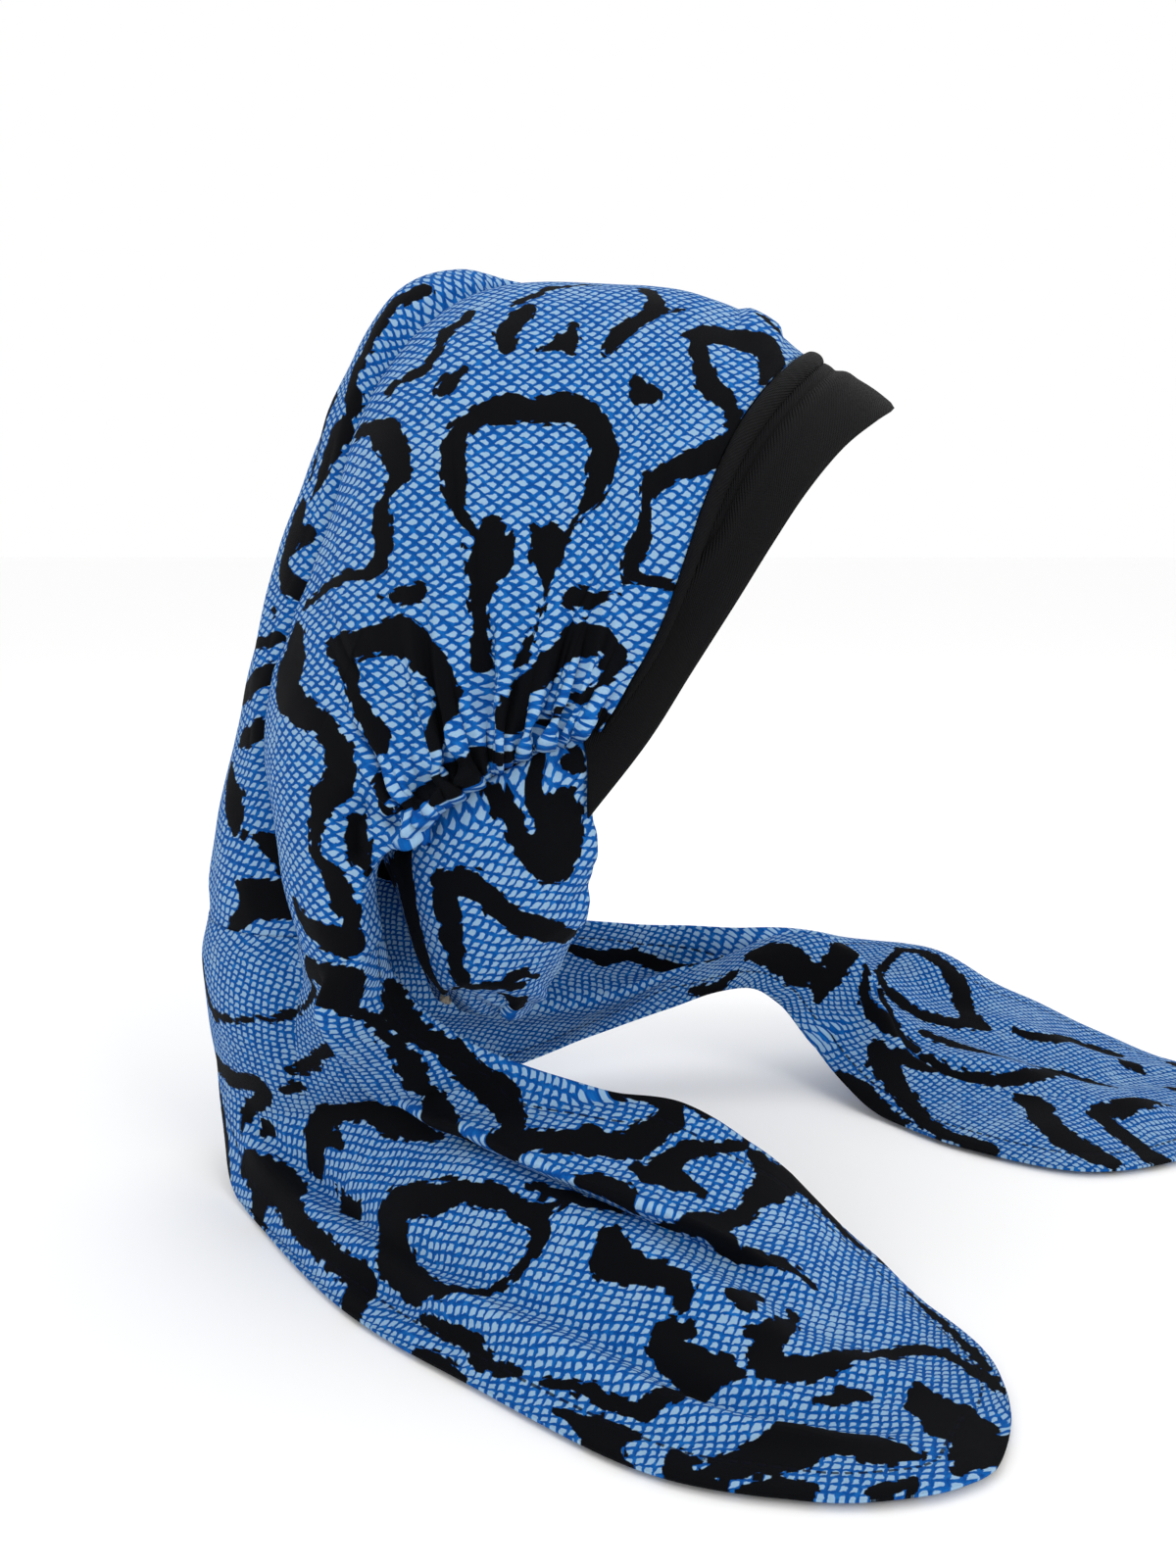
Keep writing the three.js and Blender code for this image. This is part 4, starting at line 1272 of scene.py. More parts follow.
@dataclass
class Crown:
    """The printed crown: one cut of cloth from ear to ear, gathered at each ear, with a slit for
    the back panel and a drape that hangs behind."""

    cap: Cap
    rows_front: int = 80
    rows_back: int = 200
    across: int = 128
    unroll: float = 0.75
    last_gather: float = 10.2
    gathers: tuple = ((4.2, 2.3, 90.0, 52.0), (2.2, 5.0, 40.0, 26.0))
    waves: tuple = ((0.7, 22.0, 22.0), (0.25, 8.0, 8.0))
    seam_lift: float = 0.2
    seam_rows: float = 0.35
    puff: float = 3.0
    puff_at: float = 9.0
    knot: float = 8.0
    knot_wide: float = 4.0

    def cloth(self, at: Array, points: Array) -> Array:
        """The cloth coordinates of each point.

        From the hub at the ear, each section is laid out straight towards its seam point, as far
        as it is long, so scales keep their size where the cap rounds over.

        Args:
            at: Fractional rows.
            points: The crown's points.

        Returns:
            The coordinates, with a last axis of two.
        """
        row = self.cap.row(at)
        from_seam = lengthwise(points, 1)
        turn = np.radians(row["curl"])
        hub_share = np.minimum((np.pi / 2) / turn, 1.0)[:, :1]
        where = np.clip(hub_share * self.across, 0, self.across)
        low = np.minimum(where.astype(int), self.across - 1)
        at_low = np.take_along_axis(from_seam, low, 1)
        at_high = np.take_along_axis(from_seam, low + 1, 1)
        from_hub = mix(at_low, at_high, where - low) - from_seam
        direction = np.arctan2(row["seamZ"] - row["hubZ"], row["seamX"] - row["hubX"])
        away = np.stack([points[..., 0] - row["hubX"], points[..., 2] - row["hubZ"]], -1)
        line = np.stack([np.cos(direction), np.sin(direction)], -1)
        straight = (away * line).sum(-1)
        length = mix(straight, from_hub, self.unroll)
        hub = np.stack([row["hubX"], row["hubZ"]], -1)
        return hub + length[..., None] * line

    def relief(self, at: Array, v: Array, ear: Array, cloth: Array, seed: int) -> Array:
        """How far the folds and the fine gathers lift the cloth.

        Each of the gathers has a height, how often it comes for each row, its length away from
        the ear, and how far it reaches. The lift fades towards the band's seam.

        Args:
            at: Fractional rows.
            v: From the seam, 0, to the ear, 1.
            ear: The distance from the gather.
            cloth: The cloth coordinates.
            seed: Which random gathers.

        Returns:
            The lift in millimetres.
        """
        p, q = cloth[..., 0], cloth[..., 1]
        gather = ease((self.last_gather - at) / 0.8)
        warp = 0.5 * smooth_noise(at * 0.9, ear / 30.0, seed)
        lift = sum(fold.lift(p, q) for fold in CROWN_FOLDS)
        for number, (high, often, length, reach) in enumerate(self.gathers, seed + 1):
            pleats = np.abs(smooth_noise((at + warp) * often, ear / length, number))
            lift += gather * high * (2 * pleats - 0.7) * bump(ear / reach)
        free = ease(v * 8.0) * ease((self.cap.sections.last - at) / 0.7)
        lift += ripples(p, q, seed + 3, self.waves) * free
        return lift * mix(self.seam_lift, 1.0, ease(at / self.seam_rows))

    def half(self, side: Side, seed: int) -> Patch:
        """One half of the crown, from the middle or the seam to the ear. Round the ear it puffs
        out, and at the ear itself the gather draws it in.

        Args:
            side: Which half.
            seed: Which random gathers and waves.

        Returns:
            The half's patch.
        """
        front = np.linspace(0.0, self.cap.notch, self.rows_front + 1)[:-1]
        back = np.linspace(self.cap.notch, self.cap.sections.last, self.rows_back + 1)
        at, v = np.meshgrid(
            np.concatenate([front, back]), np.linspace(0.0, 1.0, self.across + 1), indexing="ij"
        )
        points = self.cap.surface(at, v, side.value)
        cloth = self.cloth(at, points)
        row = self.cap.row(at)
        ear = np.hypot(points[..., 0] - row["hubX"], points[..., 2] - row["hubZ"])
        ear = np.where(v > 0.5, ear, np.maximum(ear, 60.0))
        normal = grid_normals(points) * -side.value
        points += normal * self.relief(at, v, ear, cloth, seed)[..., None]
        gathered = ease((self.last_gather - at) / 0.6)
        puff = self.puff * bump((ear - self.puff_at) / self.puff_at)
        puff -= self.knot * (1 - ease(ear / self.knot_wide))
        points[..., 1] += side.value * gathered * puff
        print_and_shade = nearest_stroke(CROWN_STROKES, cloth)
        return Patch(points, cloth, flip=side is Side.LEFT, print_and_shade=print_and_shade)

    def make(self, material: bpy.types.Material) -> bpy.types.Object:
        """Args:
            material: Its material.

        Returns:
            The piece.
        """
        right, left = self.half(Side.RIGHT, SEED), self.half(Side.LEFT, SEED + 20)
        shape = right.points.shape[:2]
        right.ids = np.arange(shape[0] * shape[1]).reshape(shape)
        left.ids = right.ids + right.ids.size
        left.ids[: self.rows_front + 1, 0] = right.ids[: self.rows_front + 1, 0]
        for patch in (right, left):
            patch.rims = [patch.edge(side) for side in ("first_row", "last_row", "last_column")]
            patch.rims.append(patch.edge("first_column", self.rows_front))
        piece = cloth_piece("crown_cloth", [right, left])
        finish(piece, material, "printed_cloth", "crown")
        return piece


@dataclass
class BackPanel:
    """The gusset let into the slit at the middle of the back."""

    cap: Cap
    rows: int = 170
    across: int = 84
    grain: float = -119.0
    below_point: float = 0.06
    waves: tuple = ((1.6, 26.0, 60.0), (0.7, 9.0, 20.0))

    def make(self, material: bpy.types.Material) -> bpy.types.Object:
        """Args:
            material: Its material.

        Returns:
            The piece.
        """
        u, s = share_grid(self.rows, self.across)
        at = mix(self.cap.notch + self.below_point, self.cap.sections.last, u)
        v = np.sin((2 * s - 1) * np.pi / 2)
        points = self.cap.panel(at, v)
        cloth = laid_flat(points, self.grain)
        lift = ripples(cloth[..., 0], cloth[..., 1], SEED + 40, self.waves)
        lift *= ease((1 - np.abs(v)) * 12.0) * ease((1 - u) * 14.0)
        points -= grid_normals(points) * lift[..., None]
        print_and_shade = nearest_stroke(PANEL_STROKES, cloth)
        print_and_shade = np.minimum(print_and_shade, print_and_shade[:, ::-1])
        piece = cloth_piece("back_panel_cloth", [Patch(points, cloth, flip=True, print_and_shade=print_and_shade)])
        finish(piece, material, "printed_cloth", "back_panel")
        return piece


TAIL_COLUMNS = "innerX innerY innerZ outerX outerY outerZ bulge"
FOLD_COLUMNS = "fromU fromV toU toV deep wide"
RIGHT_TAIL_ROWS = [
    (-73, 56, -202, -144, 1.5, -206, 0),
    (-69, 57, -218, -146, 2, -228, 8),
    (-56, 60, -230, -146, 3, -255, 12),
    (-35, 65, -239, -141, 9, -284, 13),
    (-11, 74, -244, -123, 45, -298, 12),
    (11, 80, -247, -84, 103, -298, 10),
    (31, 84, -260, -40, 145, -298, 8),
    (50, 84, -277, 0, 180, -298, 6),
    (67, 86, -291, 35, 192, -298, 4),
    (81, 98, -298, 60, 192, -298, 3),
    (92, 121, -298, 76, 187, -298, 1),
    (96, 143, -298, 88, 176, -298, 0),
]
LEFT_TAIL_ROWS = [
    (-73, 56, -202, -144, 1.5, -206, 0),
    (-69, 57, -218, -146, 3, -228, 8),
    (-56, 62, -228, -145, 8, -256, 12),
    (-30, 74, -232, -134, 24, -286, 12),
    (0, 88, -236, -100, 48, -296, 10),
    (32, 98, -240, -52, 64, -292, 4),
    (64, 106, -244, 2, 70, -272, -6),
    (92, 110, -248, 42, 70, -258, -12),
    (116, 115, -252, 60, 70, -264, -14),
    (137, 118, -258, 76, 72, -284, -12),
    (158, 120, -272, 97, 46, -297, -8),
    (180, 120, -281, 125, 16, -298, -5),
    (202, 117, -290, 160, -4, -298, -3),
    (222, 108, -296, 196, 3, -298, -2),
    (240, 92, -298, 226, 25, -298, -1),
    (249, 72, -298, 243, 48, -298, 0),
]
RIGHT_FOLD_ROWS = [
    (0.2, 0.88, 0.86, 0.8, 3, 0.04),
    (0.2, 0.82, 0.86, 0.75, -3, 0.035),
    (0.3, 0.6, 0.95, 0.5, 2, 0.06),
]
LEFT_FOLD_ROWS = [
    (-0.1, 0.62, 0.45, 0.45, -8, 0.09),
    (0.1, 0.3, 0.75, 0.28, 5, 0.12),
    (0.35, 0.5, 0.95, 0.36, 3, 0.05),
    (0.6, 0.3, 0.98, 0.2, -2.5, 0.05),
]


@dataclass(frozen=True)
class Pleat:
    """An overlap along a tail: the cloth rises to a rounded lip, turns back under it and comes
    out again lower down.

    The path is where the lip lies across the tail, v, at each place along it, u. The way is 1
    where the lower cloth lies towards greater v and -1 where it lies towards less.
    """

    path: tuple[tuple[float, float], ...]
    way: float
    rise: float
    sink: float
    turn: float = 7.0
    under: float = 8.0
    near: float = 14.0
    far: float = 22.0
    fade: float = 0.07
    fade_out: float = 0.14

    def place(self, u: Array) -> Array:
        """Where the lip lies across the tail, on straight lines between the path's points."""
        along, across = np.array(self.path).T
        return np.interp(u, along, across)

    def gather(self, u: Array, s: Array, power: float = 1.4) -> Array:
        """Moves grid lines towards the lip: on each side, the share of the way from the lip to
        the edge is raised to a power.

        Args:
            u: Along the tail.
            s: Evenly spaced shares across it.
            power: How strongly the lines crowd together.

        Returns:
            The crowded shares.
        """
        lip = self.place(u)
        lower = lip * (1 - np.maximum(1 - s / lip, 0.0) ** power)
        upper = lip + (1 - lip) * np.maximum((s - lip) / (1 - lip), 0.0) ** power
        return np.where(s < lip, lower, upper)

    def offsets(self, u: Array, v: Array, width: Array) -> tuple[Array, Array]:
        """How far the pleat moves the cloth.

        Args:
            u: Along the tail.
            v: Across the tail.
            width: The tail's width there, in millimetres.

        Returns:
            The move towards greater v and the move outwards, in millimetres.
        """
        lip = self.place(u)
        beyond = self.way * (v - lip) * width
        room = np.where(self.way > 0, 1 - lip, lip) * width
        first, last = self.path[0][0], self.path[-1][0]
        there = ease((u - first) / self.fade) * ease((last - u) / self.fade_out)
        turned = ease(beyond / self.turn)
        back = 1 - ease((beyond - self.turn) / np.maximum(room - self.turn, 1.0))
        across = -self.way * self.under * turned * back * there
        before = self.rise * np.exp(np.minimum(beyond, 0.0) / self.near)
        after = -self.sink * np.exp(-np.maximum(beyond - self.turn, 0.0) / self.far)
        return across, mix(before, after, turned) * there


RIGHT_PLEAT = Pleat(
    (
        (0.0, 0.34), (0.04, 0.32), (0.09, 0.29), (0.16, 0.28), (0.24, 0.305), (0.3, 0.34),
        (0.35, 0.37), (0.41, 0.405), (0.45, 0.41), (0.49, 0.405), (0.53, 0.39), (0.6, 0.35),
        (0.7, 0.31),
    ),
    way=1.0, rise=5.0, sink=5.0,
)
LEFT_PLEAT = Pleat(
    (
        (0.42, 0.4), (0.51, 0.47), (0.55, 0.57), (0.6, 0.66), (0.64, 0.72), (0.67, 0.755),
        (0.7, 0.755), (0.73, 0.735), (0.765, 0.71), (0.82, 0.69), (0.92, 0.66),
    ),
    way=-1.0, rise=-4.0, sink=-3.0,
)

# Along the tail, then how far its inner and its outer edge are stretched out there.
RIGHT_SPREAD = (
    (0.2, 0, 0), (0.28, 0, 3.5), (0.33, 0, 5), (0.39, 0, 4), (0.45, 2, 4.2), (0.5, 3.2, 4.6),
    (0.56, 4.1, 4), (0.6, 4.6, 3), (0.66, 3.6, 1.5), (0.72, 1.8, 0.5), (0.78, 0.5, 0),
    (0.84, -2, -0.8), (0.9, -2.5, -1.5), (0.95, -2, -1), (1, 0, 0),
)
LEFT_SPREAD = (
    (0.6, 0, 0), (0.66, 0, 5), (0.72, -2, 8), (0.8, -5, 8), (0.88, -8, 5), (0.95, -6, 2),
    (1, 0, 0),
)
RIGHT_CREASES = [
    Fold(((-62, -45), (-50, -72), (-42, -95), (-38, -112), (-28, -132), (-10, -150)), -3.0, 8.0),
    Fold(((-74, -62), (-62, -86), (-54, -106), (-48, -124), (-36, -144)), 3.0, 6.0),
    Fold(((10, -110), (24, -132), (40, -150), (56, -176)), 2.5, 8.0),
]
LEFT_CREASES = [
    Fold(((176, -112), (200, -122), (230, -126), (262, -128)), -2.5, 6.0),
    Fold(((200, -78), (230, -86), (262, -104)), 2.0, 7.0),
]


@dataclass
class Tail:
    """A loose tail of two layers, turned and topstitched, from the hem of the drape.

    No head stretches its cloth, so its printed scales are finer than the cap's.
    """

    cap: Cap
    side: Side
    sections: Table
    folds: Table
    pleat: Pleat
    spread: tuple[tuple[float, float, float], ...]
    creases: list[Fold]
    strokes: list[Stroke]
    flat: tuple[float, float]
    area: float
    grain: float = -110.0
    rows: int = 240
    across: int = 140
    root: float = 0.3
    lowest: float = -298.4
    even: int = 160
    finer: float = 1.2
    end: float = 0.05
    tip: float = 0.1
    waves: tuple = ((2.4, 60.0, 30.0), (1.1, 22.0, 16.0))
    table: float = -299.0
    clear: float = 6.0
    hem_share: float = 0.62
    parting: float = 0.04
    step: float = 0.01
    wall: float = 1.8
    root_wide: float = 4.0
    edge_wall: float = 0.45
    edge_wide: float = 3.0

    def hem(self, v: Array) -> Array:
        """The hem of the drape on the left, from its inner edge, 0, to the middle, 1.

        Args:
            v: Across the tail.

        Returns:
            The points, with a last axis of three.
        """
        last = float(self.cap.sections.last)
        crown = self.cap.surface(last, np.clip(1 - v / self.hem_share, 0, 1), Side.LEFT.value)
        share = np.clip((1 - v) / (1 - self.hem_share), self.parting, 1)
        panel = self.cap.panel(last, share)
        return np.where((v < self.hem_share)[..., None], crown, panel)

    def chord(self, u: Array) -> tuple[Array, Array, Array]:
        """The inner and outer ends of a straight section, and its bulge.

        Args:
            u: Along the tail.

        Returns:
            The inner end, the outer end and the bulge.
        """
        row = self.sections.read(u * self.sections.last)
        inner = np.stack([row["innerX"], row["innerY"], row["innerZ"]], -1)
        outer = np.stack([row["outerX"], row["outerY"], row["outerZ"]], -1)
        return inner, outer, row["bulge"]

    def fold_height(self, u: Array, v: Array) -> Array:
        """The lengthwise folds: a bell across each, easing out at both ends.

        Args:
            u: Along the tail.
            v: Across the tail.

        Returns:
            The height in millimetres.
        """
        total = np.zeros(u.shape)
        for from_u, from_v, to_u, to_v, deep, wide in self.folds.rows:
            along = (u - from_u) / (to_u - from_u)
            off = (v - mix(from_v, to_v, along)) / wide
            total += deep * bump(off) * ease(4 * along) * ease(4 * (1 - along))
        return total

    def surface(self, u: Array, v: Array) -> Array:
        """A point of the tail: u along it and v across it, from the inner edge to the outer.

        The straight section is bent out by its bulge and its folds, along the cross product of
        the way along the tail and the way across it. Near the root it eases to the drape's hem.

        Args:
            u: Along the tail.
            v: Across the tail.

        Returns:
            The points, with a last axis of three.
        """
        inner, outer, bulge = self.chord(u)
        flat = mix(inner, outer, v[..., None])
        ahead, behind = (self.chord(np.clip(u + s, 0, 1)) for s in (self.step, -self.step))
        along = mix(ahead[0], ahead[1], v[..., None]) - mix(behind[0], behind[1], v[..., None])
        outward = np.cross(along, outer - inner)
        outward /= np.linalg.norm(outward, axis=-1, keepdims=True)
        width = np.linalg.norm(outer - inner, axis=-1)
        slide, lift = self.pleat.offsets(u, v, width)
        height = bulge * np.sin(np.pi * v) + self.fold_height(u, v) + lift
        point = flat + outward * height[..., None]
        point += (outer - inner) * (slide / width)[..., None]
        start = self.chord(np.zeros_like(u))
        to_hem = self.hem(v) - mix(start[0], start[1], v[..., None])
        point += to_hem * (1 - ease(u / self.root))[..., None]
        point[..., 1] *= self.side.value
        return point

    def stitch_line(self, cloth: Array) -> Array:
        """The distance of each point from the tail's sewn edge, laid flat, and the place along
        that edge of the nearest point on it.

        Args:
            cloth: The cloth coordinates.

        Returns:
            The two measures, with a last axis of two.
        """
        step = 4
        edge = np.concatenate([cloth[::step, 0], cloth[-1, ::step], cloth[::-step, -1]])
        return np.stack(to_path(cloth[..., 0], cloth[..., 1], edge), -1)

    def spread_out(self, u: Array, v: Array) -> Array:
        """How far the stretched edges move each point along its section.

        Args:
            u: Along the tail.
            v: Across the tail.

        Returns:
            The moves, with a last axis of three.
        """
        along, inner, outer = np.array(self.spread).T
        ends = self.chord(u)
        way = ends[1] - ends[0]
        way /= np.linalg.norm(way, axis=-1, keepdims=True)
        way[..., 1] *= self.side.value
        shift = np.interp(u, along, outer) * ease(2 * v - 1)
        shift -= np.interp(u, along, inner) * ease(1 - 2 * v)
        return way * shift[..., None]

    def make(self, material: bpy.types.Material) -> bpy.types.Object:
        """Its last stretch narrows on an ellipse to the tip.

        Args:
            material: Its material.

        Returns:
            The piece.
        """
        u, v = share_grid(self.rows, self.across)
        v = self.pleat.gather(u, v)
        near_end = np.clip((u - (1 - self.end)) / self.end, 0, 1)
        width = np.maximum(np.sqrt(1 - near_end**2), self.tip)
        across = 0.5 + (v - 0.5) * width
        points = self.surface(u, across)
        cloth = laid_flat(points, self.grain)
        p, q = cloth[..., 0], cloth[..., 1]
        stitch = self.stitch_line(cloth)
        edge = stitch[..., 0] + (1 - ease(u * 20.0)) * self.root_wide
        points += self.spread_out(u, across)
        seed = SEED + (60 if self.side is Side.RIGHT else 80)
        lift = ripples(p, q, seed, self.waves)
        for crease in self.creases:
            lift += crease.lift(p, q)
        lift *= ease(u * 14.0)
        normal = evened(grid_normals(points), self.even) * self.side.value
        free = ease((points[..., 2] - self.table) / self.clear)
        points += normal * (lift * free)[..., None]
        points[..., 2] = np.maximum(points[..., 2], self.lowest)
        wall = self.wall * mix(self.edge_wall, 1.0, ease(edge / self.edge_wide))
        print_and_shade = nearest_stroke(self.strokes, cloth)
        slack, flip = cloth * self.finer, self.side is Side.RIGHT
        patch = Patch(points, slack, flip=flip, print_and_shade=print_and_shade, stitch=stitch, wall=wall)
        name = f"{self.side.name.lower()}_tail"
        piece = cloth_piece(f"{name}_cloth", [patch], back_step=1)
        finish(piece, material, "printed_cloth", name)
        return piece


NAPE_ROWS = [
    (-40, -150.5, 83.5, 2.3, 112, 60, 0, -84, -174, 0),
    (-40, -165, 84, 2.3, 120, 49, 0, -83, -181, 0),
    (-41, -180, 83, 2.3, 123, 47, 0, -80, -191, 0),
    (-42, -195, 81, 2.3, 126, 41, 0, -76, -202, 0),
    (-43, -208, 77, 2.3, 128, 33, 0, -72, -213, 0),
    (-44, -218, 70, 2.3, 127, 27, 0, -68, -220, 0),
    (-46, -225, 61, 2.3, 120, 22, 0, -65, -226, 0),
]


@dataclass
class NapePouch:
    """The lower cap round the nape, drawn in at its hem by elastic."""

    sections: Table = Table.of(SECTION, NAPE_ROWS)
    rows: int = 84
    across: int = 300
    ruffle: float = 11.0
    arch_at: float = 0.6
    arch_wide: float = 0.25
    arch_high: float = 0.34
    arch_deep: float = 6.0
    hem_wide: float = 0.22
    front_wide: float = 0.12
    gather_wide: float = 0.2
    hem_waves: float = 2.6
    front_waves: float = 1.6
    gathers: float = 1.6
    waves: tuple = ((0.8, 20.0, 20.0),)
    tuck_in: float = 3.5
    tuck_up: float = 5.0

    def surface(self, u: Array, v: Array) -> Array:
        """A point of the pouch: u from the gather to the hem, v from the right edge, -1, round
        the nape to the left, 1. On each side an arch of the hem is drawn in under it.

        Args:
            u: From the gather to the hem.
            v: Round the nape.

        Returns:
            The points, with a last axis of three.
        """
        row = self.sections.read(u * self.sections.last)
        point = section_point(row, np.abs(v) * np.radians(row["curl"]), np.sign(v))
        off = np.hypot((np.abs(v) - self.arch_at) / self.arch_wide, (1 - u) / self.arch_high)
        point[..., 1] -= np.sign(v) * self.arch_deep * ease((1 - off) / 0.25)
        return point

    def make(self, material: bpy.types.Material) -> bpy.types.Object:
        """Its hem and front edges ripple, and its upper edge is gathered and tucked in
        under the crown.

        Args:
            material: Its material.

        Returns:
            The piece.
        """
        u, s = share_grid(self.rows, self.across)
        v = 2 * s - 1
        points = self.surface(u, v)
        over = lengthwise(points, 1)
        cloth = np.stack([over[:, self.across // 2, None] - over, -lengthwise(points, 0)], -1)
        p, q = cloth[..., 0], cloth[..., 1]
        normal = -grid_normals(points)
        hem = bump((1 - u) / self.hem_wide)
        front = bump((1 - np.abs(v)) / self.front_wide)
        gather = bump(u / self.gather_wide)
        waves = smooth_noise(p / self.ruffle * 2.0, u * 1.2, SEED + 100)
        side_waves = smooth_noise(q / self.ruffle * 2.0, v * 5.0, SEED + 101)
        lift = self.hem_waves * waves * hem
        lift += self.front_waves * side_waves * front * (1 - hem)
        lift += self.gathers * smooth_noise(p / 7.0, u * 1.5, SEED + 102) * gather
        lift += ripples(p, q, SEED + 103, self.waves)
        points += normal * lift[..., None]
        tucked = (1 - ease(u / 0.07)) * ease(np.abs(v) * 3)
        points[..., 1] -= np.sign(v) * self.tuck_in * tucked
        points[..., 2] += self.tuck_up * tucked
        print_and_shade = nearest_stroke(POUCH_STROKES, cloth)
        patch = Patch(points, cloth, flip=True, print_and_shade=print_and_shade, wall=1.1)
        piece = cloth_piece("nape_pouch_cloth", [patch])
        finish(piece, material, "printed_cloth", "nape_pouch")
        return piece


@dataclass
class NapeElastic:
    """The narrow elastic that follows the pouch's hem on the inside."""

    pouch: NapePouch
    top: float = 0.2
    inset: float = 0.03
    share: float = 6 / 90
    square: float = 7.0
    off: float = 1.9
    shown_at: float = 0.37
    shown_wide: float = 0.03
    shown_out: float = 3.6
    step: float = 0.01

    def make(self, material: bpy.types.Material) -> bpy.types.Object:
        """Builds the elastic: it runs down one front edge of the pouch, round the nape and up
        the other, a little way in from the hem. On each side a short stretch peeps out.

        Args:
            material: Its material.

        Returns:
            The piece.
        """
        s, across = share_grid(240, 8)
        inset = self.inset + self.share * across
        swing = -np.cos(np.pi * s)
        down = np.maximum(1 - np.abs(swing) ** self.square, 0.0) ** (1 / self.square)
        u = mix(self.top, 1 - inset, down)
        v = swing * (1 - inset)
        surface = self.pouch.surface
        along_v = surface(u, v + self.step) - surface(u, v - self.step)
        along_u = surface(np.minimum(u + self.step, 1), v) - surface(u - self.step, v)
        inward = np.cross(along_u, along_v)
        inward /= np.linalg.norm(inward, axis=-1, keepdims=True)
        shown = bump((np.abs(v) - self.shown_at) / self.shown_wide)[..., None]
        points = surface(u, v) + inward * (self.off - self.shown_out * shown)
        cloth = np.stack([lengthwise(points, 0), lengthwise(points, 1)], -1)
        piece = cloth_piece("nape_elastic_strip", [Patch(points, cloth, flip=True, wall=1.0)])
        return finish(piece, material, "elastic", "nape_elastic")


EDGE_ROWS = [
    (84, 0, -38, 3.4),
    (81.5, 15, -39.5, 3.4),
    (73.5, 30, -44, 3.4),
    (61, 44, -53, 3.4),
    (48.8, 56, -66, 3.4),
    (38, 64, -81, 3.3),
    (27, 69, -98, 3.1),
    (14, 73, -118, 2.8),
    (1.5, 75.5, -137.5, 2.0),
    (-15.5, 77, -159.5, 0.8),
]


